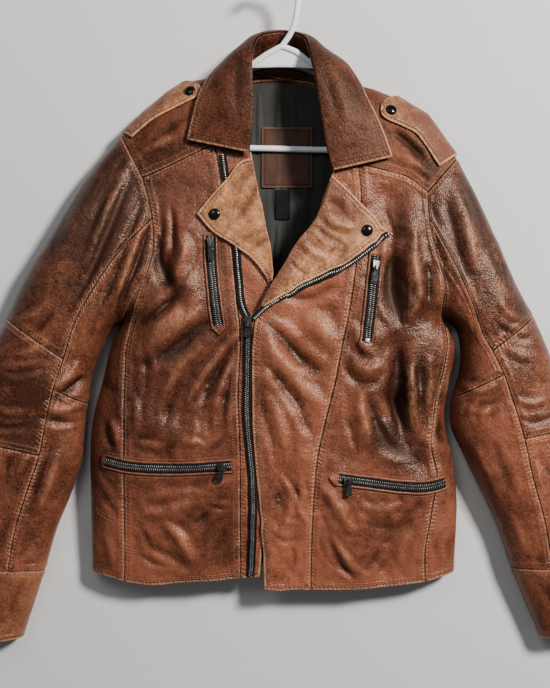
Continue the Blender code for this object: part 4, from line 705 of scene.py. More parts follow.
def front_relief(x, y):
    """The smaller creases at places in plan, read smoothly from their table."""
    at = (np.stack([x, y], -1) - RELIEF_LOW) / RELIEF_STEP
    cell = np.clip(np.floor(at).astype(int), 1, np.array(RELIEF.shape) - 3)
    share = np.clip(at - cell, 0, 1)
    weights = [(-0.5 * s + s**2 - 0.5 * s**3, 1 - 2.5 * s**2 + 1.5 * s**3, 0.5 * s + 2 * s**2 - 1.5 * s**3,
                -0.5 * s**2 + 0.5 * s**3) for s in (share[..., 0], share[..., 1])]
    return sum(weights[0][i] * weights[1][j] * RELIEF[cell[..., 0] + i - 1, cell[..., 1] + j - 1]
               for i, j in itertools.product(range(4), repeat=2))


def front_height(x, y, creases=1.0):
    """Height of the middle of the front's leather over a point of the floor."""
    height, folds = front_shape(x, y)
    return height + creases * front_relief(x, y) * folds**1.6


def on_front(x, y, lift=0.0, creases=1.0):
    """A point of the front's middle surface, moved out by lift."""
    x, y = np.asarray(x, float), np.asarray(y, float)
    step = SURFACE_STEP
    slope_x = (front_height(x + step, y, creases) - front_height(x - step, y, creases)) / (2 * step)
    slope_y = (front_height(x, y + step, creases) - front_height(x, y - step, creases)) / (2 * step)
    normal = unit(np.stack([-slope_x, -slope_y, np.ones_like(slope_x)], -1))
    return np.stack([x, y, front_height(x, y, creases)], -1) + normal * np.asarray(lift, float)[..., None]


def under_height(depth):
    """Height of the lower layer, depth inside a fold's edge."""
    inside = np.clip(1 - np.asarray(depth, float) / UNDER_ROUND, 0, 1)
    return FLOOR_LAYER + (FOLD_HEIGHT - FLOOR_LAYER) * (1 - np.sqrt(1 - inside**2))


def keep_points(line, count):
    """count + 1 points along a seam: its own ones, and spare ones halfway along its longest stretches."""
    line = [np.array(point, float) for point in line]
    while len(line) < count + 1:
        longest = int(np.argmax([np.linalg.norm(after - before) for before, after in zip(line, line[1:])]))
        line.insert(longest + 1, (line[longest] + line[longest + 1]) / 2)
    return np.array(line)


def filled(left, right, bottom, top, step=GRID):
    """A fine grid of places in plan between four edges, each drawn as a smooth curve. left and right rise from
    bottom to top."""
    edges = [refine(edge, parts=6) for edge in (left, right, bottom, top)]
    tall, wide = (max(2, round(max(run_of(edge)[-1] for edge in pair) / step)) for pair in (edges[:2], edges[2:]))
    left, right, bottom, top = (spread(edge, count) for edge, count in zip(edges, (tall, tall, wide, wide)))
    u = np.linspace(0, 1, wide + 1)[None, :, None]
    v = np.linspace(0, 1, tall + 1)[:, None, None]
    between = (1 - u) * left[:, None] + u * right[:, None] + (1 - v) * bottom[None] + v * top[None]
    lower, upper = ((1 - u) * left[end] + u * right[end] for end in (0, -1))
    return between - (1 - v) * lower - v * upper


def side_distances(grid):
    """How far each point of a grid lies from each of its four sides, measured along the leather."""
    across = np.linalg.norm(np.diff(grid, axis=1), axis=-1)
    along = np.linalg.norm(np.diff(grid, axis=0), axis=-1)
    left = np.pad(np.cumsum(across, axis=1), ((0, 0), (1, 0)))
    bottom = np.pad(np.cumsum(along, axis=0), ((1, 0), (0, 0)))
    return {"l": left, "r": left[:, -1:] - left, "b": bottom, "t": bottom[-1:] - bottom}


def out_of(grid, flip=False, closed=False):
    """The way out of the leather at each point of a grid."""
    if closed:
        across = np.gradient(np.concatenate([grid[:, -1:], grid, grid[:, :1]], axis=1), axis=1)[:, 1:-1]
    else:
        across = np.gradient(grid, axis=1)
    normal = unit(np.cross(across, np.gradient(grid, axis=0)))
    return -normal if flip else normal


# Where each side of a grid lies, and the row or column inside it.
SIDES = {"l": (np.s_[:, 0], np.s_[:, 1]), "r": (np.s_[:, -1], np.s_[:, -2]), "b": (np.s_[0], np.s_[1]),
         "t": (np.s_[-1], np.s_[-2])}


def sewn(grid, out, seams, edges):
    """A grid with its sides worked: a seam sinks, bulges over its allowance and puckers, and a turned edge bulges.
    Also the nearness to a worked side, from 0 to 1."""
    distances = side_distances(grid)
    worn, rise = np.zeros((2, *grid.shape[:2]))
    for side in SIDES:
        if side not in seams + edges:
            continue
        away, seam = distances[side], side in seams
        edge = np.expand_dims(grid[SIDES[side][0]], 1 if side in "lr" else 0)
        pucker = 0.6 * wobble(edge, 11, 5) + 0.4 * wobble(edge, 6, 6)
        band = smooth_step(0.5, 3.0, away) * (1 - smooth_step(*ALLOWANCE, away))
        if seam:
            rise = rise + SEAM_RISE * band - SEAM_RISE * np.exp(-(away / SEAM_SINK) ** 2)
            rise = rise + SEAM_PUCKER * pucker * np.exp(-away / 10) * smooth_step(0, 3, away)
        else:
            rise = rise + EDGE_RISE * band + EDGE_PUCKER * pucker * np.exp(-away / 14)
        worn = np.maximum(worn, np.exp(-away / (SEAM_WEAR if seam else EDGE_WEAR)))
    return grid + out * rise[..., None], worn


def sewing_of(distances, seams, edges):
    """For each point, how far it lies from the nearest worked side, how far along it, and 1 for a seam, 2 for an
    edge or 0 for neither."""
    away = np.full(distances["l"].shape, FAR_OFF)
    along, kinds = np.zeros((2, *away.shape))
    for side in SIDES:
        if side in seams + edges:
            closer = distances[side] < away
            away = np.where(closer, distances[side], away)
            along = np.where(closer, distances["b" if side in "lr" else "l"], along)
            kinds = np.where(closer, 1.0 if side in seams else 2.0, kinds)
    return np.stack([away, along, kinds], -1)


def pull_in(grid, gap, sides):
    """A grid whose outer rows and columns move in by gap, so that pieces don't touch."""
    grid = np.array(grid, float)
    for side in "btlr":
        if side not in sides:
            continue
        edge, inner = (grid[place] for place in SIDES[side])
        way = inner - edge
        length = np.linalg.norm(way, axis=-1, keepdims=True)
        way, along = unit(way), unit(np.gradient(edge, axis=0))
        slant = np.linalg.norm(way - along * (way * along).sum(-1, keepdims=True), axis=-1, keepdims=True)
        grid[SIDES[side][0]] = edge + way * np.minimum(gap / np.maximum(slant, MOST_SLANT), 0.55 * length)
    return grid


def strip(centre, width, columns=2):
    """A grid of places in plan, width wide, along the points of a middle line."""
    along = unit(np.gradient(centre, axis=0))
    across = np.stack([-along[:, 1], along[:, 0]], -1) * np.broadcast_to(width, len(centre))[:, None]
    return centre[:, None] + across[:, None] * np.linspace(0.5, -0.5, columns + 1)[None, :, None]


# --- meshes and pieces


PANELS = {}


def mesh_object(name, points, faces, finish, body=JACKET, marks=None, slots=None):
    """A piece from points in millimetres and faces, riding on a body. marks holds, for each point, the nearness to a
    worked side, the rise of its creases and its tone, and then how far it lies from such a side, how far along it,
    and how the side is worked."""
    mesh = bpy.data.meshes.new(name)
    points = np.array(points, float)
    points[:, 2] = np.maximum(points[:, 2], 0)
    mesh.from_pydata((points * MM).tolist(), [], faces)
    for one in (finish,) if isinstance(finish, str) else finish:
        mesh.materials.append(FINISHES[one])
    if marks is not None:
        marks = np.asarray(marks, np.float32)
        for key, columns in (("marks", slice(0, 3)), ("sewing", slice(3, 6))):
            layer = mesh.attributes.new(key, "FLOAT_VECTOR", "POINT")
            layer.data.foreach_set("vector", marks[:, columns].ravel())
    if slots is not None:
        mesh.polygons.foreach_set("material_index", np.asarray(slots, np.int32))
    mesh.shade_smooth()
    mesh.update()
    obj = bpy.data.objects.new(name, mesh)
    bpy.context.scene.collection.objects.link(obj)
    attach(obj, body)
    return obj


def grid_faces(index, turned):
    """Quads over a grid of point numbers."""
    quads = np.stack([index[:-1, :-1], index[:-1, 1:], index[1:, 1:], index[1:, :-1]], -1).reshape(-1, 4)
    return quads[:, ::-1] if turned else quads


def wrapped(grid):
    """A grid whose first column comes again after its last."""
    return np.concatenate([grid, grid[:, :1]], axis=1)


def shell(name, grid, finish, out, flip, thickness, closed=False, marks=None, lined=None):
    """A closed wall about a grid of points, with its edges rounded. lined says which inner faces are lining."""
    half = thickness / 2
    index = np.arange(grid[..., 0].size).reshape(grid.shape[:2])
    count = index.size
    whole = wrapped(index) if closed else index
    points = [(grid + out * half).reshape(-1, 3), (grid - out * half).reshape(-1, 3)]
    faces = [grid_faces(whole, flip), grid_faces(whole + count, not flip)]
    slots = np.zeros((2, len(faces[0])), int)
    if lined is not None:
        inner = wrapped(lined) if closed else lined
        slots[1] = (inner[:-1, :-1] & inner[1:, 1:]).ravel()
    if closed:
        rings = [(index[0], grid[0] - grid[1], False), (index[-1], grid[-1] - grid[-2], True)]
    else:
        ways = np.zeros_like(grid)
        for edge, inner in SIDES.values():
            ways[edge] += grid[edge] - grid[inner]
        ring = np.concatenate([index[0], index[1:, -1], index[-1, -2::-1], index[-2:0:-1, 0]])
        rings = [(ring, ways.reshape(-1, 3)[ring], False)]
    flat, normals = grid.reshape(-1, 3), out.reshape(-1, 3)
    copied = []
    total = 2 * count
    for ring, way, turned in rings:
        normal = normals[ring]
        way = unit(way - normal * (way * normal).sum(-1, keepdims=True))
        strips = [ring]
        for angle in np.radians(RIM_TURNS):
            points.append(flat[ring] + way * half * math.cos(angle) + normal * half * math.sin(angle))
            strips.append(np.arange(total, total + len(ring)))
            copied.append(ring)
            total += len(ring)
        faces.append(grid_faces(wrapped(np.array(strips + [ring + count])), flip != (not turned)))
    faces = np.concatenate(faces)
    slots = np.pad(slots.ravel(), (0, len(faces) - slots.size))
    if marks is not None:
        marks = marks.reshape(-1, 6)
        marks = np.concatenate([marks, marks] + [marks[ring] for ring in copied])
    return mesh_object(name, np.concatenate(points), faces.tolist(), finish, marks=marks, slots=slots)


def tone_and_painted_light_at(grid):
    """How much lighter or darker the colour is at places of the jacket, about a half: the leather's uneven tone, with
    some spots of painted shade, painted shadow and painted highlight.
    """
    return sum((change * np.exp(-((grid[..., 0] - x) ** 2 + (grid[..., 1] - y) ** 2) / radius**2)
                for x, y, radius, change in TONE_AND_PAINTED_LIGHT_SPOTS), 0.5) + 0.05 * wobble(grid, 40, 8)


def laid_piece(name, grid, finish, out, flip, thickness, nodes, slot, rests_on, **how):
    """A wall about a grid in place of CAD nodes."""
    obj = shell(name, grid, finish, out, flip, thickness, **how)
    if nodes:
        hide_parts(*nodes)
    PANELS[name] = (grid, out, thickness, how.get("closed"))


def panel(name, grid, finish, node, slot, flip=False, seams="", edges="", thickness=LEATHER, closed=False, relief=None,
          lined=None, inset="lrbt", tone=0.0, rests_on=("back_panel",)):
    """A leather panel from the middle surface of its wall: seams worked and edges rounded."""
    grid, worn = sewn(grid, out_of(grid, flip, closed), seams, edges)
    distances = side_distances(grid)
    grid = pull_in(grid, SEAM_PULL, "bt" if closed else inset)
    relief = np.zeros(grid.shape[:2]) if relief is None else relief
    marks = np.concatenate([np.stack([worn, 0.5 + relief / RELIEF_SPAN, tone_and_painted_light_at(grid) + tone], -1),
                            sewing_of(distances, seams, edges)], -1)
    if lined is not None:
        lined = np.logical_and.reduce([distances[side] > depth for side, depth in lined.items()])
        finish = (finish, "lining_cloth")
    laid_piece(name, grid, finish, out_of(grid, flip, closed), flip, thickness, [node], slot, rests_on, closed=closed,
               marks=marks, lined=lined)


def piece(name, grid, finish, node, slot, thickness, relief=0.0, rests_on=("back_panel",)):
    """A sewn piece that needs no worked seams: its grid as a thin wall, in place of one node."""
    out = out_of(grid)
    flip = out[..., 2].mean() < 0
    marks = plain_marks(grid.reshape(-1, 3)).reshape(*grid.shape[:2], 6)
    marks[..., 1] += relief / RELIEF_SPAN
    laid_piece(name, grid, finish, -out if flip else out, flip, thickness, [node] if node else [], slot, rests_on,
               marks=marks)


def plain_marks(points, tone=0.5):
    return np.tile([0, 0.5, tone, FAR_OFF, 0, 0], (len(points), 1))


def row_near(grid, out, side, distance):
    """The points of a grid and the way out there, along a line at a distance from one side."""
    away = side_distances(grid)[side]
    if side in "bt":
        away, grid, out = away.T, grid.transpose(1, 0, 2), out.transpose(1, 0, 2)
    rows = []
    for gaps, *values in zip(away, grid, out):
        order = np.argsort(gaps)
        at = min(distance, gaps.max() * 0.9)
        rows.append([sample(at, gaps[order], value[order]) for value in values])
    return np.moveaxis(np.array(rows), 1, 0)


# --- finishes


def maths(operation, reflected=False):
    """A method that adds one Math node for a number and another value."""
    def method(number, other=None):
        values = (number,) if other is None else (other, number) if reflected else (number, other)
        return number.finish.node("ShaderNodeMath", {"operation": operation}, dict(enumerate(values)))
    return method


class Number:
    """A number that varies over a surface, on which sums are written plainly."""

    def __init__(self, finish, socket):
        self.finish = finish
        self.socket = socket

    __add__ = __radd__ = maths("ADD")
    __sub__, __rsub__ = maths("SUBTRACT"), maths("SUBTRACT", True)
    __mul__ = __rmul__ = maths("MULTIPLY")
    __abs__ = maths("ABSOLUTE")
    least, most, wave = maths("MINIMUM"), maths("MAXIMUM"), maths("SINE")

    def above(self, edge, soft):
        """0 below edge - soft and 1 above edge + soft."""
        settings = {"interpolation_type": "SMOOTHSTEP"}
        values = {"Value": self, "From Min": edge - soft, "From Max": edge + soft}
        return self.finish.node("ShaderNodeMapRange", settings, values, "Result")

    def about(self, middle, reach, soft):
        """1 within reach of a middle, and 0 beyond it."""
        return 1 - abs(self - middle).above(reach, soft)


class Finish:
    """A material built from nodes."""

    def __init__(self, name):
        self.material = bpy.data.materials.new(name)
        self.material.use_nodes = True
        self.tree = self.material.node_tree
        self.shader = self.tree.nodes["Principled BSDF"]

    def node(self, kind, settings=None, values=None, output=0):
        """A node of a kind, with its settings made first and then its sockets' values or links."""
        made = self.tree.nodes.new(kind)
        for key, value in (settings or {}).items():
            if key == "stops":
                ramp = made.color_ramp
                while len(ramp.elements) < len(value):
                    ramp.elements.new(0.5)
                for element, (place, colour) in zip(ramp.elements, value):
                    element.position = place
                    element.color = (*colour, 1)
            else:
                setattr(made, key, value)
        for key, value in (values or {}).items():
            self.feed(made.inputs[key], value)
        return Number(self, made.outputs[output])

    def feed(self, socket, value):
        if isinstance(value, Number):
            self.tree.links.new(value.socket, socket)
        elif isinstance(value, tuple) and len(value) == 3 and socket.type == "RGBA":
            socket.default_value = (*value, 1)
        else:
            socket.default_value = value

    def mix(self, share, first, second):
        """One colour turning into another."""
        return self.node("ShaderNodeMix", {"data_type": "RGBA"}, {0: share, 6: first, 7: second}, 2)

    def noise(self, place, size, detail=3.0, rough=0.55, warp=0.0, kind="FBM"):
        """Cloudy noise whose patches are about size millimetres."""
        settings = {"noise_dimensions": "3D", "noise_type": kind}
        values = {"Vector": place, "Scale": 1 / MM / size, "Detail": detail, "Roughness": rough, "Distortion": warp}
        return self.node("ShaderNodeTexNoise", settings, values)

    def stretched(self, place, scale):
        """The same places, stretched by a factor along each axis."""
        return self.node("ShaderNodeVectorMath", {"operation": "MULTIPLY"}, {0: place, 1: scale})

    def place(self):
        return self.node("ShaderNodeTexCoord", output="Object")

    def axes(self, place):
        """The three numbers of a place."""
        split = self.node("ShaderNodeSeparateXYZ", values={0: place})
        return [Number(self, output) for output in split.socket.node.outputs]

    def stored(self, key):
        """The three numbers that a panel stores at its points under a key."""
        return self.axes(self.node("ShaderNodeAttribute", {"attribute_name": key}, output="Vector"))

    def bump(self, height, distance, strength):
        """A normal from a height in units of distance, in metres."""
        return self.node("ShaderNodeBump", values={"Height": height, "Distance": distance, "Strength": strength})

    def done(self, **sockets):
        """Feeds the shader's sockets, named with _ for a space."""
        for key, value in sockets.items():
            self.feed(self.shader.inputs[key.replace("_", " ")], value)
        return self.material


def leather(name, dark, middle, light, worn, wear=1.0, gloss=0.33, mottle=1.0, shine=0.42):
    """Worn grain leather: mottled dye, rubbed edges, puckers beside its seams, pebbled grain and fine wrinkles, with
    painted light and shade over its creases and seams.
    """
    f = Finish(name)
    place = f.place()
    _, rise, tone = f.stored("marks")
    away, along, kind = f.stored("sewing")
    broad = f.noise(place, 120, 2.0)
    patchy = f.noise(place, 36, 4.0, 0.62, 0.8)
    cloudy = f.noise(place, 11, 4.0, 0.62, 0.5)
    specks = f.noise(place, 2.8, 3.0, 0.65)
    scuffs = f.noise(f.stretched(place, (1.0, 0.4, 1.0)), 7, 5.0, 0.72, 1.0)
    seam = kind.above(0.5, 0.4)
    edge = kind.above(1.5, 0.4)
    near = away + (cloudy - 0.5) * 1.6
    beside = seam * (1 - near.above(6.0, 5.0)) * near.above(0.9, 0.6)
    waves = along * (2 * math.pi / 5.2) + (cloudy - 0.5) * 7 + (patchy - 0.5) * 16 + away * 0.25
    gathers = waves.wave() * beside * patchy.above(0.47, 0.16)
    ridge = seam * near.about(8.2, 1.1, 1.0)
    pressed = near.about(3.6, 0.7, 0.6) * 0.9 + near.about(9.1, 0.6, 0.5) * 0.6
    groove = seam * (1 - edge) * (1 - near.above(0.9, 0.6)) + edge * pressed
    depth = tone + (broad - 0.5) * (0.75 * mottle) + (patchy - 0.5) * (0.6 * mottle) + (cloudy - 0.5) * (0.4 * mottle)
    halo = seam * (1 - near.above(9.0, 9.0)) * cloudy.above(0.42, 0.2)
    # The colour is lighter on raised creases and darker in their troughs, darker still in deep ones: painted light and
    # painted shade. The specks and the rubbed halo beside the seams are the leather's own.
    depth = depth + (rise - 0.5) * 0.4 + (rise - 0.5).least(0.0) * 0.7 + (specks - 0.5) * 0.85 + halo * 0.14
    # Lighter on the crests of the puckers and on the ridge over the seam allowance, darker in their hollows, in the
    # seam grooves and in the pressed stitch lines: painted highlight and painted shade.
    depth = depth + gathers * 0.1 + ridge * 0.06 - groove * 0.34
    base = f.node("ShaderNodeValToRGB", {"stops": [(0.1, dark), (0.45, middle), (0.85, light)]}, {0: depth})
    rim = edge * (1 - near.above(1.9, 0.9)) * scuffs.above(0.42, 0.2)
    line = seam * near.about(1.9, 0.7, 0.5) * scuffs.above(0.47, 0.16) * 0.75
    ridged = (rise - 0.62).above(0.1, 0.12) * scuffs.above(0.52, 0.14) * 0.4
    rubbed = ((rim + line + ridged) * wear).least(1.0)
    base = f.mix(rubbed * 0.8, base, worn)
    grain = f.node("ShaderNodeTexVoronoi", {"feature": "F1", "voronoi_dimensions": "3D"},
                   {"Vector": place, "Scale": 1 / MM / 1.9, "Randomness": 1.0})
    fine = f.noise(place, 4.2, 4.0, 0.62, 0.6)
    wrinkles = f.noise(f.stretched(place, (1.0, 0.75, 1.0)), 15, 4.0, 0.6, 1.6, "RIDGED_MULTIFRACTAL")
    height = fine * 0.48 - grain * 0.31 - wrinkles * 0.38 + cloudy * 1.0 + gathers * 0.42 + ridge * 0.2 - groove * 0.45
    dull = (0.02 - depth).most(0.0).least(0.3)
    rough = gloss + (cloudy - 0.5) * 0.2 + (specks - 0.5) * 0.14 + rubbed * 0.1 + dull * 0.9
    return f.done(Base_Color=base, Roughness=rough, Normal=f.bump(height, 0.001, 1.0), Specular_IOR_Level=shine,
                  Specular_Tint=(1.0, 0.68, 0.53, 1.0))


def cloth(name, first, second, pitch, rough, lift=0.3, twill=True, sheen=0.2, shine=0.5):
    """Woven cloth: ribs of a pitch in millimetres, soft fade and dust."""
    f = Finish(name)
    place = f.place()
    x, y, _ = f.axes(place)
    turn = 2 * math.pi / MM / pitch
    ribs = (((x + y) if twill else x) * turn).wave()
    crossing = (y * (turn / 1.3)).wave()
    fade = f.noise(place, 45, 4.0, 0.6)
    dust = f.noise(place, 4, 3.0, 0.7)
    share = fade.above(0.5, 0.28) * 0.7 + ribs * 0.12 + (dust - 0.5) * 0.5
    base = f.mix(share.least(1.0).most(0.0), first, second)
    height = ribs * 0.5 + crossing * 0.3 + dust * 0.8
    return f.done(Base_Color=base, Roughness=rough + (dust - 0.5) * 0.1, Normal=f.bump(height * lift, 0.0005, 0.7),
                  Sheen_Weight=sheen, Sheen_Roughness=0.5, Specular_IOR_Level=shine)


def metal(name, dark, bright, gloss, metallic=1.0, wear=0.35):
    """Plated metal, dulled in patches and rubbed bright in fine scratches."""
    f = Finish(name)
    place = f.place()
    patches = f.noise(place, 6, 3.0, 0.6)
    scratches = f.noise(f.stretched(place, (1.0, 6.0, 1.0)), 1.5, 4.0, 0.7)
    rub = scratches.above(0.62, 0.12) * wear + patches.above(0.55, 0.2) * (wear * 0.6)
    base = f.mix(rub.least(1.0), dark, bright)
    return f.done(Base_Color=base, Roughness=gloss + (patches - 0.5) * 0.18, Metallic=metallic,
                  Normal=f.bump(scratches * 0.04, 0.0005, 0.4))


def plastic(name, colour, shade):
    """Moulded plastic with faint scuffs."""
    f = Finish(name)
    place = f.place()
    cloudy = f.noise(place, 60, 3.0, 0.5)
    scuffs = f.noise(f.stretched(place, (1.0, 4.0, 1.0)), 2.5, 4.0, 0.65)
    base = f.mix(cloudy.above(0.5, 0.3) * 0.4 + scuffs.above(0.66, 0.08) * 0.25, colour, shade)
    return f.done(Base_Color=base, Roughness=0.28 + (scuffs - 0.5) * 0.15, Coat_Weight=0.15, Coat_Roughness=0.15,
                  Normal=f.bump(cloudy * 0.3 + scuffs * 0.05, 0.0006, 0.3))


def label_leather(name):
    """Smooth leather with a pressed double border and a bare middle."""
    f = Finish(name)
    place = f.place()
    x, y, _ = f.axes(place)
    x0, y0, x1, y1 = [value * MM for value in LABEL_CORNERS]
    across, along = abs(x - (x0 + x1) / 2), abs(y - (y0 + y1) / 2)
    rim = (across - (x1 - x0) / 2).most(along - (y1 - y0) / 2) * (1 / MM)
    pressed = (rim.about(-3.2, 0.55, 0.35) + rim.about(-5.6, 0.25, 0.25) * 0.6).least(1.0)
    cloudy = f.noise(place, 16, 4.0, 0.6)
    specks = f.noise(place, 1.6, 3.0, 0.6)
    base = f.mix(cloudy.above(0.5, 0.3) * 0.8, (0.05, 0.021, 0.013), (0.09, 0.039, 0.024))
    base = f.mix(pressed * 0.55, base, (0.03, 0.012, 0.009))
    base = f.mix(rim.above(-0.9, 0.5) * 0.6, base, (0.2, 0.09, 0.055))
    height = specks * 0.12 - pressed * 0.6 + cloudy * 0.2
    return f.done(Base_Color=base, Roughness=0.55 + (cloudy - 0.5) * 0.2, Normal=f.bump(height, 0.0008, 0.9),
                  Specular_IOR_Level=0.2)


FINISHES = {}


def make_finishes(colours):
    """Every finish of the jacket by name, in the order of its function's own arguments."""
    dark, chestnut, tan, worn = (tuple(getattr(colours, key)) for key in ("dark", "chestnut", "tan", "worn"))

    def scaled(colour, factor):
        return tuple(min(1.0, value * factor) for value in colour)

    for kind, name, *values in (
            (leather, "dark_leather", scaled(dark, 0.22), dark, scaled(chestnut, 1.5), worn),
            (leather, "chestnut_leather", scaled(dark, 0.28), chestnut, scaled(chestnut, 2.05), worn),
            (leather, "collar_leather", scaled(dark, 0.3), scaled(chestnut, 0.9), scaled(chestnut, 1.9), worn, 1.0,
             0.42, 0.7, 0.18),
            (leather, "worn_leather", scaled(dark, 0.4), scaled(chestnut, 1.1), scaled(tan, 0.85), worn),
            (leather, "tan_leather", scaled(chestnut, 0.85), scaled(tan, 0.7), scaled(tan, 1.55), scaled(worn, 1.4),
             0.9, 0.4, 2.3),
            (cloth, "lining_cloth", (0.011, 0.0105, 0.008), (0.033, 0.0315, 0.0245), 1.5, 0.8, 0.5),
            (label_leather, "label_leather"),
            (cloth, "black_tape", (0.004, 0.004, 0.0045), (0.013, 0.013, 0.014), 0.9, 0.75, 0.4, False, 0.0, 0.1),
            (metal, "zip_metal", (0.09, 0.086, 0.082), (0.4, 0.38, 0.35), 0.32, 0.6),
            (metal, "gunmetal", (0.11, 0.106, 0.103), (0.5, 0.48, 0.45), 0.3, 1.0, 0.5),
            (metal, "bright_teeth", (0.3, 0.285, 0.265), (0.8, 0.77, 0.7), 0.28, 0.5, 0.8),
            (metal, "snap_metal", (0.008, 0.008, 0.009), (0.05, 0.05, 0.05), 0.14, 0.6, 0.12),
            (plastic, "hanger_plastic", (0.84, 0.86, 0.9), (0.68, 0.7, 0.74)),
            (cloth, "thread", (0.13, 0.065, 0.038), (0.4, 0.25, 0.165), 0.5, 0.6, 0.3, False)):
        FINISHES[name] = kind(name, *values)


# --- panels of the body


def front_grid(plan, lift=0.0, creases=1.0):
    return on_front(plan[..., 0], plan[..., 1], lift, creases)


def front_panel(name, edges_of, finish, slot, seams, edges, lined=None, overlaps=False):
    """A panel of the front between the four edges of its plan."""
    plan = filled(*edges_of)
    panel(name + "_leather", front_grid(plan, overlap_lift(plan) if overlaps else 0.0), finish, name, slot, seams=seams,
          edges=edges, relief=front_relief(plan[..., 0], plan[..., 1]), lined=lined)


def overlap_lift(plan):
    """The left front rides up over the right one's edge, and settles again away from it."""
    ease = np.clip(1 - np.linalg.norm(plan - plan[:, :1], axis=-1) / OVERLAP_REACH, 0, 1)
    return OVERLAP_LIFT * np.minimum(1, ease * ease * (3 - 2 * ease) * OVERLAP_HOLD)


def make_fronts():
    """The right front and its zip facing, and the left front's two panels."""
    right_side, left_side = ([row[:2] for row in rows] + armhole[1:] for rows, armhole in (
        (RIGHT_SIDE_ROWS, RIGHT_ARMHOLE_FRONT), (LEFT_SIDE_ROWS, LEFT_ARMHOLE_FRONT)))
    front_panel("right_front", (right_side, RIGHT_PLACKET, RIGHT_HEM, RIGHT_YOKE_SEAM), "dark_leather", "dark_leather",
                "lrt", "b", {"b": HEM_FACING, "r": ZIP_FACING})
    bottom, top = ([RIGHT_PLACKET[end], RIGHT_FRONT_EDGE[end]] for end in (0, -1))
    front_panel("right_front_edge", (RIGHT_PLACKET, RIGHT_FRONT_EDGE, bottom, top), "chestnut_leather", "dark_leather",
                "l", "rb")
    front_panel("left_front_centre", (LEFT_FRONT_EDGE, LEFT_PRINCESS, LEFT_CENTRE_HEM, LEFT_YOKE_SEAM_INNER[::-1]),
                "chestnut_leather", "chestnut_leather", "rt", "lb", {"b": HEM_FACING, "l": FRONT_FACING}, True)
    front_panel("left_front_side", (LEFT_PRINCESS, left_side, LEFT_SIDE_HEM, LEFT_YOKE_SEAM_OUTER[::-1]),
                "dark_leather", "dark_leather", "lrt", "b", {"b": HEM_FACING})


def fold_profile(front, fold, back, over_parts=24, under_parts=16):
    """Points from a place on the front, round a fold of the body, to a place on the back."""
    over_turns, under_turns = ((1 - np.cos(np.linspace(0, math.pi / 2, parts + 1)))[:, None]
                               for parts in (over_parts, under_parts))
    over = fold + (front - fold) * over_turns[::-1]
    under = fold + (back - fold) * under_turns[1:]
    heights = np.concatenate([front_height(over[:, 0], over[:, 1]),
                              under_height(np.linalg.norm(under - fold, axis=1))])
    return np.column_stack([np.concatenate([over, under]), heights])


def side_places(rows, edge_column, back_seam):
    """Where each section of a side panel meets the front's seam, the fold and the back's seam."""
    seam_x, seam_y, fold_y = np.array(rows, float).T
    fold_x = np.interp(fold_y, BODY["y"], BODY[edge_column])
    return np.stack([np.stack([seam_x, seam_y], -1), np.stack([fold_x, fold_y], -1),
                     np.linspace(*back_seam, len(rows))], 1)


def yoke_places(seam, shoulder, back_line):
    return np.stack([keep_points(line, YOKE_STEPS) for line in (seam, shoulder, back_line)], 1)


RIGHT_SIDE = side_places(RIGHT_SIDE_ROWS, "right_edge", BACK_SIDE_RIGHT)
LEFT_SIDE = side_places(LEFT_SIDE_ROWS, "left_edge", BACK_SIDE_LEFT)
RIGHT_YOKE = yoke_places(RIGHT_YOKE_SEAM, RIGHT_SHOULDER, BACK_YOKE_RIGHT)
LEFT_YOKE = yoke_places(LEFT_YOKE_SEAM_OUTER + LEFT_YOKE_SEAM_INNER[1:], LEFT_SHOULDER, BACK_YOKE_LEFT)


def make_sides_and_yokes():
    """The side panels round the body's folds, and the yokes over its shoulders."""
    for name, places, finish, slot, seams, edges, lined, tone in (
            ("right_side_panel", RIGHT_SIDE, "dark_leather", "dark_leather", "lrt", "b", {"b": HEM_FACING}, 0.0),
            ("left_side_panel", LEFT_SIDE, "dark_leather", "dark_leather", "lrt", "b", {"b": HEM_FACING}, 0.0),
            ("right_yoke", RIGHT_YOKE, "collar_leather", "worn_leather", "lrbt", "", YOKE_FACING, -0.2),
            ("left_yoke", LEFT_YOKE, "collar_leather", "worn_leather", "lrbt", "", YOKE_FACING, -0.2)):
        grid = even([fold_profile(*row) for row in refine(places, GRID)], GRID)
        relief = front_relief(grid[..., 0], grid[..., 1]) * smooth_step(*FOLD_CALM, grid[..., 2])
        panel(name + "_leather", grid, finish, name, slot, name.startswith("right"), seams, edges, relief=relief,
              lined=lined, tone=tone)


def back_height(x, y):
    """Height of the middle of the back's leather, which rises only where it meets the shoulder folds."""
    return under_height(np.min([nearest(x, y, start, end)[1] for line in (RIGHT_SHOULDER, LEFT_SHOULDER)
                                for start, end in zip(line, line[1:])], axis=0))


def on_back(grid, lift=0.0):
    """A grid of places in plan, laid lift above the back's middle surface."""
    return np.concatenate([grid, back_height(grid[..., 0], grid[..., 1])[..., None] + lift], -1)


def make_back():
    """The back panel that the jacket lies on. Its creases only press up into the jacket, so that it lies flat."""
    right, left = (keep_points(side, 4).tolist() + armhole[1:] + keep_points(yoke, YOKE_STEPS).tolist()[1:]
                   for side, armhole, yoke in ((BACK_SIDE_RIGHT, BACK_RIGHT_ARMHOLE, BACK_YOKE_RIGHT),
                                               (BACK_SIDE_LEFT, BACK_LEFT_ARMHOLE, BACK_YOKE_LEFT)))
    plan = filled(right, left, [right[0], left[0]], BACK_NECK, BACK_GRID)
    grid = on_back(plan)
    relief = np.maximum(crease_relief(plan[..., 0], plan[..., 1], BACK_CREASES) + 0.25 * wobble(plan, 40, 4), 0)
    grid[..., 2] += np.minimum(relief, MOST_BACK_RISE)
    panel("back_panel_leather", grid, "dark_leather", "back_panel", "dark_leather", True, edges="b", relief=-relief * 2,
          rests_on=())


# --- sleeves


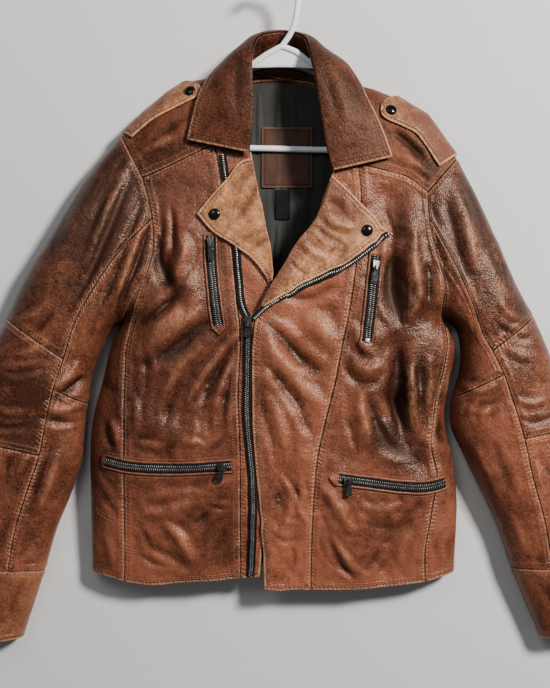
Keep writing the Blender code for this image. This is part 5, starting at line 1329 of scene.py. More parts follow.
def armhole_loop(yoke, side, front_armhole, back_armhole):
    """The armhole's points from the shoulder fold to the underarm: over the front, and under the back."""
    parts = FOLD_PARTS * FOLD_STEPS
    shoulder, underarm = (fold_profile(*row, parts, parts) for row in (yoke[0], side[-1]))
    front, back = (refine(places[::-1], parts=FOLD_PARTS) for places in (front_armhole, back_armhole))
    front = np.column_stack([front, front_height(front[:, 0], front[:, 1])])
    back = np.pad(back, ((0, 0), (0, 1)), constant_values=FLOOR_LAYER)
    over = np.concatenate([shoulder[:parts + 1][::-1], front[1:], underarm[1:parts + 1]])
    under = np.concatenate([shoulder[parts:], back[1:], underarm[parts:][::-1][1:]])
    return over, under


def quarter_shares(count, start, end):
    """count + 1 shares from start to end, close together where they leave the nearer edge."""
    turns = 1 - np.cos(np.linspace(0, math.pi / 2, count + 1))
    return end * turns if start == 0 else 1 - (1 - start) * turns[::-1]


def plain_section(row, shares, under):
    """A sleeve's straight section, on its upper or its lower layer, without the armhole's curve."""
    outer, inner = (np.array([row[edge + "_x"], row[edge + "_y"]]) for edge in ("outer", "inner"))
    if under:
        height = under_height(np.minimum(shares, 1 - shares) * np.linalg.norm(inner - outer))
    else:
        arch = np.clip(1 - np.abs(2 * shares - 1) ** SLEEVE_POWER, 0, 1) ** (1 / SLEEVE_ROOT)
        height = FOLD_HEIGHT + (row["height"] - FOLD_HEIGHT) * arch
    return np.column_stack([outer + (inner - outer) * shares[:, None], height])


def sleeve_quarter(row, first_row, points, start, end, under):
    """A section from one seam to one edge of the sleeve, blended with the armhole's points there."""
    first_seam = SLEEVE_UNDER_SEAM if under else first_row["seam"]
    count = len(points) - 1
    ends = (0, first_seam) if start == 0 else (first_seam, 1)
    curve = points - plain_section(first_row, quarter_shares(count, *ends), under)
    return plain_section(row, quarter_shares(count, start, end), under) + max(row["curve"], 0) * curve


def sleeve_tube(coarse_rows, loop):
    """The whole sleeve as rings of points from the lengthwise seam round the outer edge and back, the number of
    points in its outer half, and the row at which each coarse row stands."""
    over, under = loop
    top, low = (FOLD_STEPS + 1) * FOLD_PARTS, (FOLD_STEPS + 2) * FOLD_PARTS
    coarse = np.array(coarse_rows, float)
    parts = [max(2, round(np.linalg.norm(b[:4] - a[:4]) / math.sqrt(2) / GRID)) for a, b in zip(coarse, coarse[1:])]
    stations = np.concatenate([[0], np.cumsum(parts)])
    fine = refine(coarse, parts=SLEEVE_PARTS)
    at = np.interp(np.arange(stations[-1] + 1), stations, np.arange(len(coarse)) * SLEEVE_PARTS)
    first = dict(zip(SLEEVE_COLUMNS, coarse[0]))
    rings = []
    for values in sample(at, np.arange(len(fine)), fine):
        row = dict(zip(SLEEVE_COLUMNS, values))
        rings.append((sleeve_quarter(row, first, over[:top + 1], 0, row["seam"], False)[::-1],
                      sleeve_quarter(row, first, under[:low + 1], 0, SLEEVE_UNDER_SEAM, True),
                      sleeve_quarter(row, first, under[low:], SLEEVE_UNDER_SEAM, 1, True),
                      sleeve_quarter(row, first, over[top:], row["seam"], 1, False)[::-1]))
    quarters = [even(rows, step) for rows, step in zip(zip(*rings), (GRID, BACK_GRID, BACK_GRID, GRID))]
    ring = np.concatenate([quarter[:, :-1] for quarter in quarters], axis=1)
    return ring, quarters[0].shape[1] + quarters[1].shape[1] - 2, stations


def make_sleeve(side, coarse_rows, loop, folds):
    """One sleeve: upper arm, elbow patch and forearm on its outer half, two panels inside, and the cuff. Its creases
    rise above, and only press in beneath."""
    ring, outer_count, stations = sleeve_tube(coarse_rows, loop)
    flip = side == "left"
    out = out_of(ring, flip, True)
    above = smooth_step(-0.35, 0.35, out[..., 2])
    relief = SLEEVE_DEPTHS[side] * crease_relief(ring[..., 0], ring[..., 1], folds)
    relief = relief + 0.6 * wobble(ring, 30, 11) + 0.3 * wobble(ring, 13, 12)
    hidden = crease_relief(ring[..., 0] * (1 if flip else -1), ring[..., 1], SLEEVE_BACK_CREASES)
    relief = relief * above - np.maximum(hidden + 0.3 * wobble(ring, 34, 13), 0) * (1 - above)
    relief = relief * (0.15 + 0.85 * smooth_step(0, 14, np.linalg.norm(ring - ring[:1], axis=-1)))
    ring = ring + out * relief[..., None]
    ring[..., 2] = np.maximum(ring[..., 2], LEATHER / 2)
    whole, marks = wrapped(ring), wrapped(relief)
    for part, (first, last, finish, tone) in SLEEVE_PANELS.items():
        rows = slice(stations[first], stations[last] + 1)
        name = f"{side}_{part}"
        if part == "cuff":
            panel(name + "_leather", ring[rows], finish, name, finish, flip, "b", "t", closed=True, relief=relief[rows],
                  lined=CUFF_FACING, tone=tone)
            continue
        columns = slice(outer_count, None) if part.endswith("inner") else slice(0, outer_count + 1)
        panel(name + "_leather", whole[rows, columns], finish, name, finish, flip, "lrbt",
              relief=marks[rows, columns], lined=SLEEVE_FACING, tone=tone)


def make_sleeves():
    """Both sleeves."""
    right = armhole_loop(RIGHT_YOKE, RIGHT_SIDE, RIGHT_ARMHOLE_FRONT, BACK_RIGHT_ARMHOLE)
    left = armhole_loop(LEFT_YOKE, LEFT_SIDE, LEFT_ARMHOLE_FRONT, BACK_LEFT_ARMHOLE)
    make_sleeve("right", RIGHT_SLEEVE_ROWS, right, RIGHT_SLEEVE_CREASES)
    make_sleeve("left", LEFT_SLEEVE_ROWS, left, LEFT_SLEEVE_CREASES)


# --- lapels, collar and epaulettes


def make_lapels():
    """The two turned lapels, rolled at the neck's edge."""
    for side, first, last, top, rows, seed, base, edges, under in (
            ("right", RIGHT_LAPEL_EDGE, RIGHT_LAPEL_ROLL, RIGHT_LAPEL_TOP, RIGHT_LAPEL_CREASES, 21, 0.0, "lt",
             "right_front"),
            ("left", LEFT_LAPEL_ROLL, LEFT_LAPEL_EDGE, LEFT_LAPEL_TOP, LEFT_LAPEL_CREASES, 22, OVERLAP_LIFT, "rt",
             "left_front_centre")):
        plan = filled(first, last, [first[0], last[0]], top, FINE_GRID)
        x, y = plan[..., 0], plan[..., 1]
        inward = np.linspace(0, 1, plan.shape[1])[None, :]
        inward = inward if side == "right" else 1 - inward
        own = (1.5 * crease_relief(x, y, rows) + 0.5 * wobble(plan, 14, seed)) * calm(x, y)
        lift = base + LAPEL_LIFT - LAPEL_TIP_DROP * (1 - inward) + LAPEL_ROLL_RISE * inward**2 + own
        tone = -0.02 - 0.16 * inward**3 if side == "right" else -0.04 - 0.75 * inward**1.6
        panel(side + "_lapel_leather", front_grid(plan, lift, LAPEL_EASE), "tan_leather", side + "_lapel",
              "tan_leather", edges=edges, relief=own * 1.4, tone=tone, rests_on=(under,))


def make_collar():
    """The turned collar leaf and the stand inside it."""
    roll, edge, seam = (np.stack([COLLAR[part + axis] for axis in ("_x", "_y", "_z")], -1)
                        for part in ("roll", "edge", "seam"))
    outward = unit(np.cross(np.gradient(roll, axis=0), edge - roll))
    shares = np.linspace(0, 1, LEAF_ROWS)[:, None, None]
    leaf = roll + (edge - roll) * shares + outward * 4 * shares * (1 - shares) * COLLAR["bulge"][:, None]
    way = out_of(leaf)
    relief = 0.6 * crease_relief(leaf[..., 0], leaf[..., 1], COLLAR_CREASES) + 0.6 * wobble(leaf, 26, 31)
    relief = relief * smooth_step(0, 12, side_distances(leaf)["b"])
    sign = np.sign((way * outward[None]).sum(-1).mean())
    leaf = leaf + way * sign * relief[..., None]
    panel("collar_leaf_leather", leaf, "collar_leather", "collar_leaf", "chestnut_leather", sign < 0, edges="lrt",
          relief=relief, inset="lrt", tone=-0.3, rests_on=("collar_stand",))
    top = roll - outward * STAND_BELOW_ROLL
    shares = np.linspace(0, 1, STAND_ROWS)[:, None, None]
    stand = seam + (top - seam) * shares
    ripple = 0.8 * wobble(stand, 16, 33) + 0.5 * wobble(stand, 8, 34)
    stand = stand + out_of(stand) * ripple[..., None] * smooth_step(0, 0.2, shares) * smooth_step(0, 0.2, 1 - shares)
    panel("collar_stand_leather", stand, "chestnut_leather", "collar_stand", "dark_leather", sign < 0, "b",
          relief=ripple, inset="lr", tone=-0.28, rests_on=("back_panel",))


def make_epaulettes():
    """The epaulettes along both shoulder folds."""
    for side, edges in (("right", RIGHT_EPAULETTE), ("left", LEFT_EPAULETTE)):
        lower, upper = (refine(edge, FINE_GRID) for edge in edges)
        count = max(len(lower), len(upper)) - 1
        lower, upper = (spread(line, count) for line in (lower, upper))
        turns = (1 - np.cos(np.linspace(0, math.pi / 2, EPAULETTE_ROWS)))[:, None]
        rows = upper[:, None] + (lower - upper)[:, None] * turns[::-1]
        heights = front_height(rows[..., 0], rows[..., 1], 0.5)
        grid = np.moveaxis(even(np.concatenate([rows, heights[..., None]], -1), EPAULETTE_GRID), 0, 1)
        out = out_of(grid)
        out = out * np.sign(out[..., 2].mean())
        grid = grid + out * (EPAULETTE_LIFT + 0.25 * wobble(grid, 12, 41))[..., None]
        name = side + "_epaulette"
        panel(name + "_leather", grid, "tan_leather", name, "tan_leather", out_of(grid)[..., 2].mean() < 0,
              edges="lrbt", tone=-0.42, rests_on=(side + "_yoke",))


# --- inside the neck


def lining_relief(plan):
    """The soft upright folds of the lining, with its pleat down the middle."""
    relief = 1.7 * crease_relief(plan[..., 0], plan[..., 1], LINING_CREASES) + 0.35 * wobble(plan, 22, 51) + 0.25
    return np.maximum(relief, -0.25)


def make_neck():
    """The lining of the back, the facing and loop at the neck, the label and the cloth tab beneath it."""
    plan = filled(LINING_RIGHT, LINING_LEFT, spread([LINING_RIGHT[0], LINING_LEFT[0]], 4), LINING_TOP, LINING_GRID)
    grid = on_back(plan, LINING_LIFT)
    relief = lining_relief(plan)
    grid[..., 2] += relief
    piece("back_lining_cloth", grid, "lining_cloth", "back_lining", "lining_cloth", LINING, relief)
    facing = refine(refine([FACING_LOWER, FACING_UPPER], LINING_GRID, 1), FINE_GRID, 0)
    grid = on_back(facing, FACING_LIFT)
    grid[..., 2] += 0.4 + 0.35 * wobble(facing, 14, 52)
    panel("back_neck_facing_leather", grid, "chestnut_leather", "back_neck_facing", "chestnut_leather", True, "t", "b",
          tone=-0.3)
    for name, (x0, y0, x1, y1), finish, thickness, lift in (
            ("label_patch", LABEL_CORNERS, "label_leather", LINING, 0.0),
            ("fabric_tab", FABRIC_TAB_CORNERS, "black_tape", FABRIC_TAB, -0.2)):
        sides = ((x0, y0, x0, y1), (x1, y0, x1, y1), (x0, y0, x1, y0), (x0, y1, x1, y1))
        plan = filled(*(path(*ends) for ends in sides), LABEL_GRID)
        relief = 0.1 * lining_relief(plan) + 1.1 + 0.3 * wobble(plan, 24, 53)
        grid = np.concatenate([plan, (LABEL_LAYER + lift + relief)[..., None]], -1)
        piece(name + "_sewn", grid, finish, name, finish, thickness, relief)
    shares = np.linspace(0, 1, LOOP_PARTS + 1)
    sag = np.sin(math.pi * shares)
    line = np.column_stack([np.interp(shares, (0, 1), LOOP_ENDS), LOOP_Y - LOOP_SAG * sag, LOOP_Z + LOOP_RISE * sag])
    points, faces = swept(line, LOOP_RADIUS * (1 + 0.08 * np.sin(shares * 40)), LOOP_SIDES)
    loop = mesh_object("hanging_loop_cord", points, faces, "chestnut_leather", marks=plain_marks(points, 0.35))
    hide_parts("hanging_loop")


# --- small shapes along lines


def swept(line, radius, sides, closed=False):
    """Points and faces of a round rod along a line, with a shallow point on each end of an open one."""
    radius = np.broadcast_to(radius, len(line))[:, None]
    along = unit(np.roll(line, -1, 0) - np.roll(line, 1, 0) if closed else np.gradient(line, axis=0))
    side = unit(np.cross(along, ROD_UP))
    over = np.cross(side, along)
    turns = np.linspace(0, 2 * math.pi, sides, endpoint=False)[:, None]
    points = (line[:, None] + radius[:, None] * (side[:, None] * np.cos(turns) + over[:, None] * np.sin(turns)))
    points = points.reshape(-1, 3)
    index = wrapped(np.arange(len(points)).reshape(len(line), sides))
    if closed:
        return points, grid_faces(np.concatenate([index, index[:1]]), True).tolist()
    count = len(points)
    ends = [line[:1] - along[:1] * radius[0] * ROD_POINT, line[-1:] + along[-1:] * radius[-1] * ROD_POINT]
    caps = [[count, a, b] for a, b in zip(index[0].tolist(), index[0, 1:].tolist())]
    caps += [[count + 1, b, a] for a, b in zip(index[-1].tolist(), index[-1, 1:].tolist())]
    return np.concatenate([points, *ends]), grid_faces(index, True).tolist() + caps


def turned(name, frame, profile, sides, finish):
    """A shape turned about the Z axis of its frame. The profile runs from the top of the axis to its foot."""
    turns = np.linspace(0, 2 * math.pi, sides, endpoint=False)
    points = [(0, 0, profile[0][1])] + [(across * math.cos(turn), across * math.sin(turn), up)
                                        for across, up in profile[1:-1] for turn in turns] + [(0, 0, profile[-1][1])]
    index = wrapped(np.arange(1, len(points) - 1).reshape(-1, sides))
    faces = grid_faces(index, True).tolist()
    faces += [[0, a, b] for a, b in zip(index[0].tolist(), index[0, 1:].tolist())]
    faces += [[b, a, len(points) - 1] for a, b in zip(index[-1].tolist(), index[-1, 1:].tolist())]
    return mesh_object(name, [tuple(frame @ Vector(point)) for point in points], faces, finish)


STITCH = ([(-1.0, 0, 0.05)] + [(x, 0.21 * math.cos(a), 0.25 * math.sin(a)) for x in (-0.62, 0.62)
                               for a in np.arange(5) * 1.2566] + [(1.0, 0, 0.05)],
          [face for k in range(5) for a, b in ((1 + k, 1 + (k + 1) % 5),)
           for face in ([0, b, a], [a, b, b + 5, a + 5], [11, a + 5, b + 5])])
TOOTH = ([(-0.5, -0.5, 0), (0.5, -0.5, 0), (0.62, 0.5, 0), (-0.62, 0.5, 0),
          (-0.45, -0.48, 0.62), (0.45, -0.48, 0.62), (0.62, 0.2, 0.72), (-0.62, 0.2, 0.72),
          (-0.3, -0.42, 0.8), (0.3, -0.42, 0.8), (0.4, 0.42, 1.0), (-0.4, 0.42, 1.0),
          (0.62, 0.5, 0.7), (-0.62, 0.5, 0.7)],
         [[3, 2, 1, 0], [0, 1, 5, 4], [1, 2, 12, 6, 5], [3, 0, 4, 7, 13], [2, 3, 13, 12], [4, 5, 9, 8],
          [5, 6, 10, 9], [6, 12, 10], [12, 13, 11, 10], [13, 7, 11], [7, 4, 8, 11], [8, 9, 10, 11]])


def many(name, shape, places, along, outward, sizes, finish, slot, marked=True):
    """One piece of a small shape set at many places: its X runs along, its Z outward, and it has a size."""
    corners = np.array(shape[0], float) * sizes
    along = unit(along - outward * (along * outward).sum(-1, keepdims=True))
    axes = np.stack([along, np.cross(outward, along), outward], 1)
    points = (places[:, None] + corners @ axes).reshape(-1, 3)
    faces = [[corner + number * len(corners) for corner in face] for number in range(len(places)) for face in shape[1]]
    obj = mesh_object(name, points, faces, finish, marks=plain_marks(points) if marked else None)
    return obj


def along_front(line, lift, creases=1.0):
    """Places over a line in plan at a lift off the front, the way along it and the way out."""
    places, above = (front_grid(line, rise, creases) for rise in (lift, lift + 1.0))
    return places, unit(np.gradient(places, axis=0)), above - places


def spaced(line, pitch):
    """A polyline's points set a pitch apart, after it is smoothed."""
    line = refine(line, 3)
    return spread(line, max(2, round(run_of(line)[-1] / pitch)))


# --- zips


def tooth_rows(name, line, lift, finish, sides=(-1, 1), pitch=2.6, reach=4.3, inner=0.0, creases=1.0):
    """Rows of zip teeth along a line: both rows of a closed chain, or the one row of an open tape."""
    places, along, out = along_front(spaced(line, pitch / 2), lift, creases)
    across = np.cross(out, along)
    rows = []
    for side in sides:
        chosen = slice(0 if side < 0 else 1, None, 2)
        rows.append((places[chosen] + across[chosen] * side * (inner + reach / 2), -across[chosen] * side, out[chosen]))
    middle, inward, outward = (np.concatenate(parts) for parts in zip(*rows))
    sizes = (pitch / 2, reach, TOOTH_HEIGHT)
    return many(name, TOOTH, middle, np.cross(inward, outward), outward, sizes, finish, "zip_metal")


def zip_tape(name, node, line, width, lift, rests_on, thickness=MAIN_TAPE, creases=1.0):
    """A flat woven tape along a line."""
    grid = front_grid(strip(spaced(line, FINE_GRID), width, TAPE_COLUMNS), lift, creases)
    piece(name, grid, "black_tape", node, "black_tape", thickness, rests_on=(rests_on,))


def make_main_zip():
    """The closed chain down the front, and the open tapes along both lapels."""
    zip_tape("main_zip_tape", "main_zip", MAIN_ZIP_LINE, 10.4, TAPE_LIFT, "right_front")
    zip_tape("right_lapel_tape", "right_zip_tape", RIGHT_OPEN_TAPE, 9.4, TAPE_LIFT, "right_front")
    zip_tape("left_lapel_tape", "left_zip_tape", LEFT_OPEN_TAPE, 7.0, LEFT_TAPE_LIFT, "left_front_centre",
             creases=LAPEL_EASE)
    for name, line, lift, finish, sides, reach, inner, creases in (
            ("main_zip_teeth", MAIN_ZIP_LINE, TAPE_LIFT, "zip_metal", (-1, 1), 2.9, 0.0, 1.0),
            ("right_lapel_teeth", RIGHT_OPEN_TAPE, TAPE_LIFT, "bright_teeth", (1,), 2.6, -1.0, 1.0),
            ("left_lapel_teeth", LEFT_OPEN_TAPE, LEFT_TAPE_LIFT, "bright_teeth", (-1,), 2.8, -0.4, LAPEL_EASE)):
        tooth_rows(name, line, lift + 0.4, finish, sides, MAIN_PITCH, reach, inner, creases)


def make_pocket_zips():
    """Each pocket: a piped leather frame round its opening, and the closed zip inside it."""
    for name, line in POCKET_ZIPS.items():
        stations = spaced(line[::-1] if name == "left_pocket" else line, FINE_GRID)
        first, last = stations[0], stations[-1]
        way = unit(last - first)
        lead = spread([first - way * POCKET_LEAD, first], 3)[:-1]
        middle = np.concatenate([lead, stations, spread([last, last + way * POCKET_POINT], 6)[1:]])
        width = np.full(len(middle), POCKET_FRAME_WIDTH)
        width[0] *= 0.9
        width[-6:] *= np.array([1.0, 0.86, 0.66, 0.45, 0.24, 0.05])
        plan = strip(middle, width, POCKET_COLUMNS)
        across = np.abs(np.linspace(-1, 1, plan.shape[1]))[None, :]
        row = np.arange(len(middle))[:, None]
        inside = smooth_step(len(lead) - 1.5, len(lead) + 0.5, row)
        inside = inside * smooth_step(len(middle) - 6.5, len(middle) - 8.5, row)
        piping = np.exp(-((across - 0.88) / 0.1) ** 2) * inside + 0.5 * (1 - inside)
        well = smooth_step(0.8, 0.7, across) * inside
        panel(name + "_piping", front_grid(plan, WELT_LIFT - 0.3 + 0.9 * piping - 1.1 * well), "dark_leather",
              name + "_welt", "worn_leather", thickness=WELT, relief=piping * 3.0, tone=0.06, inset="",
              rests_on=("right_front" if name.startswith("right") else "left_front_side",))
        zip_tape(name + "_zip_tape", None, line, POCKET_TAPE_WIDTH, WELT_LIFT - 0.2, name + "_welt", POCKET_TAPE)
        teeth = tooth_rows(name + "_teeth", line, WELT_LIFT + 0.15, "zip_metal")
        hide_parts(name + "_zip")
    stop = [values[:1] for values in along_front(np.array(CHEST_STOP), WELT_LIFT + 0.6)]
    many("left_chest_end_stop", TOOTH, *stop, STOP_SIZE, "bright_teeth", "zip_metal")


# --- sliders, snaps and hanger


def keep_node(node, finish, round_off, segments):
    """A CAD node that stays in view, with its edges rounded off and a metal finish."""
    obj = frame["nodes"][node]
    soft = obj.modifiers.new("rounded", "BEVEL")
    soft.width = round_off * MM
    soft.segments = segments
    soft.limit_method = "ANGLE"
    soft.angle_limit = math.radians(BEVEL_DEGREES)
    soft.harden_normals = False
    obj.data.materials.clear()
    obj.data.materials.append(FINISHES[finish])
    for polygon in obj.data.polygons:
        polygon.material_index = 0


def make_hardware():
    """The five sliders with their pull tabs, and the four domed snaps."""
    for name in SLIDERS:
        keep_node(name + "_slider", "gunmetal", 0.7, 3)
        keep_node(name + "_pull", "gunmetal", 0.3, 2)
    dome = [(SNAP_RADIUS * math.cos(a), SNAP_RIM + (SNAP_HEIGHT - SNAP_RIM) * math.sin(a))
            for a in np.linspace(math.pi / 2, SNAP_BROW, SNAP_RINGS)]
    rim = [(SNAP_RADIUS + 0.15, SNAP_RIM * 0.9), (SNAP_RADIUS, SNAP_RIM * 0.45), (SNAP_RADIUS - 0.4, 0.15),
           (SNAP_RADIUS - SNAP_RIM, 0)]
    for name, (x, y, lift) in SNAPS.items():
        low, high = (Vector(on_front(x, y, way)) for way in (0.0, 1.0))
        normal = (high - low).normalized()
        place = low + normal * (lift + LEATHER / 2 + SNAP_STAND)
        frame_at = Matrix.Translation(place) @ normal.to_track_quat("Z", "Y").to_matrix().to_4x4()
        cap = turned(name + "_cap", frame_at, [(0, SNAP_HEIGHT)] + dome[1:] + rim + [(0, 0)], SNAP_SIDES, "snap_metal")
        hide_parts(name)


def on_hanger(plan):
    """Places in plan, lifted on to the plane that the hanger lies in."""
    plan = np.array(plan, float)
    return np.concatenate([plan, BAR_Z + (plan[..., 1:] - BAR_Y) * HANGER_RISE], -1)


def rounded_loop(corners, parts=10):
    """A closed polyline with each corner cut back and rounded."""
    corners = np.array(corners, float)
    share = np.linspace(0, 1, parts + 1)[:, None]
    made = []
    for before, corner, after in zip(np.roll(corners, 1, 0), corners, np.roll(corners, -1, 0)):
        a, b = (corner + (end - corner) * min(MOST_PULL, HANGER_BEND / np.linalg.norm(end - corner))
                for end in (before, after))
        made.append((1 - share) ** 2 * a + 2 * share * (1 - share) * corner + share**2 * b)
    return np.concatenate(made)


def make_hanger():
    """The moulded hanger: its frame, the web beneath its hook, and the hook."""
    points, faces = swept(on_hanger(rounded_loop(HANGER_FRAME)), HANGER_ROD, ROD_SIDES, True)
    turns = np.radians(np.linspace(*HOOK_DEGREES, HOOK_PARTS))[1:, None]
    curl = np.array(HOOK_CENTRE) + HOOK_RADIUS * np.concatenate([np.cos(turns), np.sin(turns)], 1)
    hook_points, hook_faces = swept(on_hanger(np.concatenate([refine(HOOK_LINE, 3), curl])), HANGER_HOOK_ROD, ROD_SIDES)
    faces = faces + [[corner + len(points) for corner in face] for face in hook_faces]
    obj = mesh_object("moulded_hanger", np.concatenate([points, hook_points]), faces, "hanger_plastic")
    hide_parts("hanger")
    foot = refine(HANGER_WEB_FOOT, 2)
    top = np.column_stack([foot[:, 0], np.interp(foot[:, 0], *zip(*HANGER_WEB_TOP))])
    grid = on_hanger(foot + (top - foot) * np.linspace(0, 1, WEB_ROWS)[:, None, None])
    out = out_of(grid)
    web = shell("hanger_web", grid, "hanger_plastic", out * np.sign(out[..., 2].mean()), out[..., 2].mean() < 0,
                HANGER_WEB)


# --- stitching


def stitch_row(panel_name, side, distance, pitch, start=0.0, end=1.0):
    """Where the stitches of one row lie: their places, the way along and the way out."""
    grid, out, thickness, closed = PANELS[panel_name]
    line, ways = row_near(grid + out * (thickness / 2), out, side, distance)
    if closed:
        line, ways = (np.concatenate([rows, rows[:1]]) for rows in (line, ways))
    stations = run_of(line)
    low, high = start * stations[-1], end * stations[-1]
    at = np.linspace(low, high, max(2, round((high - low) / pitch)))
    at = (at[1:] + at[:-1]) / 2
    return (sample(at, stations, line), sample(at + 1, stations, line) - sample(at - 1, stations, line),
            unit(sample(at, stations, ways)))


def make_stitching(pitch):
    """The topstitching beside the seams and edges and round the pockets, as one piece of many short threads."""
    rows = [stitch_row(name + "_leather", side, distance, pitch, *span)
            for name, side, distances, *span in STITCHING for distance in distances]
    for line in POCKET_ZIPS.values():
        edges = strip(spaced(line, pitch), POCKET_STITCHES, 1)
        rows += [along_front(edges[:, column], LEATHER / 2) for column in (0, 1)]
    rows += [along_front(spaced(line, pitch), LEATHER / 2) for line in PATCH_STITCHES]
    places, along, out = (np.concatenate(parts) for parts in zip(*rows))
    sizes = (pitch * STITCH_SHARE, STITCH_WIDTH, STITCH_HEIGHT)
    many("topstitching", STITCH, places, along, out, sizes, "thread", "chestnut_leather", False)


# --- stage


# The lamps: place, aim, size, power and colour.
LAMPS = {"key": ((1.7, 1.3, 2.15), (0.0, 0.0, 0.0), 0.5, 182, (1.0, 0.97, 0.93)),
         "fill": ((-0.7, 1.2, 2.0), (0.0, 0.1, 0.0), 1.0, 12, (0.93, 0.96, 1.0))}
ROOM_COLOUR = (0.93, 0.95, 1.0, 1)
ROOM_POWER = 0.15
FLOOR_COLOURS = ((0.62, 0.615, 0.6), (0.57, 0.565, 0.55))
FLOOR_REACH = 20.0
SENSOR_WIDTH = 36
JACKET_TOP = 0.04
VIEW_ROWS = 688


def light(name, place, aim, size, power, colour):
    """A soft square lamp at a place, turned towards what it lights."""
    data = bpy.data.lights.new(name, "AREA")
    data.size = size
    data.energy = power
    data.color = colour
    lamp = bpy.data.objects.new(name, data)
    lamp.location = place
    lamp.rotation_euler = (Vector(aim) - Vector(place)).to_track_quat("-Z", "Y").to_euler()
    bpy.context.scene.collection.objects.link(lamp)


def make_stage(distance, scale):
    """The pale floor, the soft lamps and the camera above."""
    floor = Finish("pale_floor")
    place = floor.place()
    cloudy = floor.noise(place, 400, 3.0)
    grain = floor.noise(place, 2.5, 3.0)
    base = floor.mix(cloudy, *FLOOR_COLOURS)
    floor.done(Base_Color=base, Roughness=0.75 + (grain - 0.5) * 0.1)
    mesh = bpy.data.meshes.new("floor")
    corners = [(-FLOOR_REACH, -FLOOR_REACH, 0), (FLOOR_REACH, -FLOOR_REACH, 0), (FLOOR_REACH, FLOOR_REACH, 0),
               (-FLOOR_REACH, FLOOR_REACH, 0)]
    mesh.from_pydata(corners, [], [(0, 1, 2, 3)])
    mesh.materials.append(floor.material)
    ground = bpy.data.objects.new("floor", mesh)
    ground.location.z = CAD_BOX[0][2]
    bpy.context.scene.collection.objects.link(ground)
    world = bpy.data.worlds.new("soft_room")
    world.use_nodes = True
    background = world.node_tree.nodes["Background"]
    background.inputs["Color"].default_value = ROOM_COLOUR
    background.inputs["Strength"].default_value = ROOM_POWER
    bpy.context.scene.world = world
    for name, values in LAMPS.items():
        light(name, *values)
    data = bpy.data.cameras.new("camera")
    data.sensor_width = SENSOR_WIDTH
    data.lens = SENSOR_WIDTH * (distance - JACKET_TOP) / (VIEW_ROWS * scale)
    camera = bpy.data.objects.new("camera", data)
    camera.location = (0, 0, distance)
    bpy.context.scene.collection.objects.link(camera)
    bpy.context.scene.camera = camera


# --- add-on


class JacketSizes(bpy.types.PropertyGroup):
    """Sizes of the jacket's sewing and of the view."""

    stitch: bpy.props.FloatProperty(
        name="Stitch", description="Length of one stitch of the topstitching with the gap after it", default=0.0036,
        min=0.002, max=0.008, unit="LENGTH")
    camera_height: bpy.props.FloatProperty(
        name="Camera height", description="Height of the camera above the floor", default=1.6, min=0.8, max=4.0,
        unit="LENGTH")
    view_scale: bpy.props.FloatProperty(
        name="View scale", description="Width of the jacket's plan that one row of the view covers", default=0.00135,
        min=0.0005, max=0.004, precision=5, unit="LENGTH")


class JacketColours(bpy.types.PropertyGroup):
    """Colours of the leathers."""

    dark: bpy.props.FloatVectorProperty(name="Dark leather", description="Dye of the body's panels", subtype="COLOR",
                                        size=3, default=(0.09, 0.028, 0.015), min=0, max=1)
    chestnut: bpy.props.FloatVectorProperty(name="Chestnut leather", description="Dye of the sleeves and the collar",
                                            subtype="COLOR", size=3, default=(0.135, 0.043, 0.0225), min=0, max=1)
    tan: bpy.props.FloatVectorProperty(name="Tan leather", description="Dye of the lapels and epaulettes",
                                       subtype="COLOR", size=3, default=(0.31, 0.133, 0.058), min=0, max=1)
    worn: bpy.props.FloatVectorProperty(name="Rubbed leather", description="Leather where its dye has rubbed off",
                                        subtype="COLOR", size=3, default=(0.42, 0.21, 0.11), min=0, max=1)


class JACKET_OT_finishes(bpy.types.Operator):
    """Mixes the leathers, cloths, metals and plastic"""

    bl_idname = "jacket.finishes"
    bl_label = "Finishes"

    def execute(self, context):
        make_finishes(context.scene.jacket_colours)
        return {"FINISHED"}


class JACKET_OT_body(bpy.types.Operator):
    """Makes the fronts, side panels, yokes and back"""

    bl_idname = "jacket.body"
    bl_label = "Body"

    def execute(self, context):
        make_fronts()
        make_sides_and_yokes()
        make_back()
        return {"FINISHED"}


class JACKET_OT_sleeves(bpy.types.Operator):
    """Makes both sleeves with their elbow patches and cuffs"""

    bl_idname = "jacket.sleeves"
    bl_label = "Sleeves"

    def execute(self, context):
        make_sleeves()
        return {"FINISHED"}


class JACKET_OT_collar(bpy.types.Operator):
    """Makes the lapels, the collar and the epaulettes"""

    bl_idname = "jacket.collar"
    bl_label = "Collar and lapels"

    def execute(self, context):
        make_lapels()
        make_collar()
        make_epaulettes()
        return {"FINISHED"}


class JACKET_OT_neck(bpy.types.Operator):
    """Makes the lining, facing, label, cloth tab and hanging loop"""

    bl_idname = "jacket.neck"
    bl_label = "Inside the neck"

    def execute(self, context):
        make_neck()
        return {"FINISHED"}


class JACKET_OT_zips(bpy.types.Operator):
    """Makes the main zip, its open tapes and the four pocket zips"""

    bl_idname = "jacket.zips"
    bl_label = "Zips"

    def execute(self, context):
        make_main_zip()
        make_pocket_zips()
        return {"FINISHED"}


class JACKET_OT_hardware(bpy.types.Operator):
    """Finishes the sliders and pull tabs, and makes the snaps"""

    bl_idname = "jacket.hardware"
    bl_label = "Sliders and snaps"

    def execute(self, context):
        make_hardware()
        return {"FINISHED"}


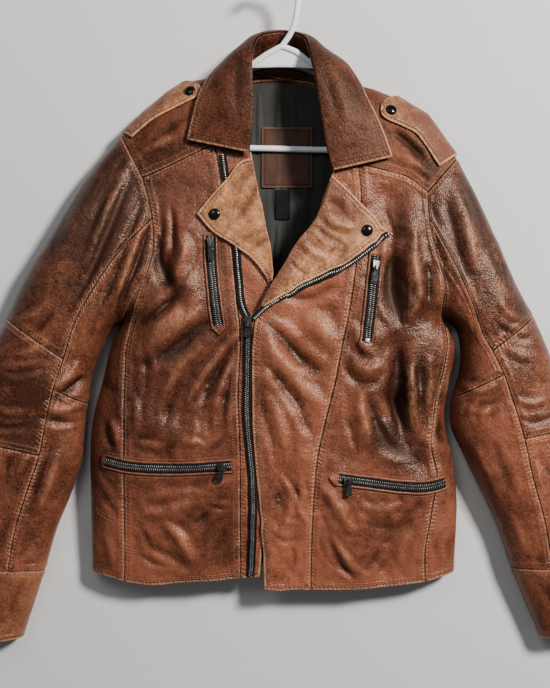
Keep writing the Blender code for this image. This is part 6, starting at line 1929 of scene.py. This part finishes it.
class JACKET_OT_hanger(bpy.types.Operator):
    """Makes the clothes hanger"""

    bl_idname = "jacket.hanger"
    bl_label = "Hanger"

    def execute(self, context):
        make_hanger()
        return {"FINISHED"}


class JACKET_OT_stitching(bpy.types.Operator):
    """Sews the topstitching along the seams and edges"""

    bl_idname = "jacket.stitching"
    bl_label = "Topstitching"

    def execute(self, context):
        make_stitching(context.scene.jacket_sizes.stitch / MM)
        return {"FINISHED"}


class JACKET_OT_stage(bpy.types.Operator):
    """Makes the floor, the lamps and the camera"""

    bl_idname = "jacket.stage"
    bl_label = "Stage"

    def execute(self, context):
        sizes = context.scene.jacket_sizes
        make_stage(sizes.camera_height, sizes.view_scale)
        return {"FINISHED"}


OPERATORS = (JACKET_OT_finishes, JACKET_OT_body, JACKET_OT_sleeves, JACKET_OT_collar, JACKET_OT_neck,
             JACKET_OT_zips, JACKET_OT_hardware, JACKET_OT_hanger, JACKET_OT_stitching, JACKET_OT_stage)


class JACKET_PT_panel(bpy.types.Panel):
    """Lists the jacket's sizes, colours and pieces"""

    bl_idname = "JACKET_PT_panel"
    bl_label = "Leather jacket"
    bl_space_type = "VIEW_3D"
    bl_region_type = "UI"
    bl_category = "Jacket"

    def draw(self, context):
        for group in (context.scene.jacket_sizes, context.scene.jacket_colours):
            for key in type(group).__annotations__:
                self.layout.prop(group, key)
        for operator in OPERATORS:
            self.layout.operator(operator.bl_idname)


CLASSES = (JacketSizes, JacketColours, *OPERATORS, JACKET_PT_panel)


def register():
    for made in CLASSES:
        bpy.utils.register_class(made)
    bpy.types.Scene.jacket_sizes = bpy.props.PointerProperty(type=JacketSizes)
    bpy.types.Scene.jacket_colours = bpy.props.PointerProperty(type=JacketColours)


def unregister():
    del bpy.types.Scene.jacket_colours
    del bpy.types.Scene.jacket_sizes
    for made in reversed(CLASSES):
        bpy.utils.unregister_class(made)


def main():
    register()
    for operator in OPERATORS:
        group, name = operator.bl_idname.split(".")
        if getattr(getattr(bpy.ops, group), name)() != {"FINISHED"}:
            raise RuntimeError(operator.bl_label + " did not finish")


if __name__ == "__main__":
    main()
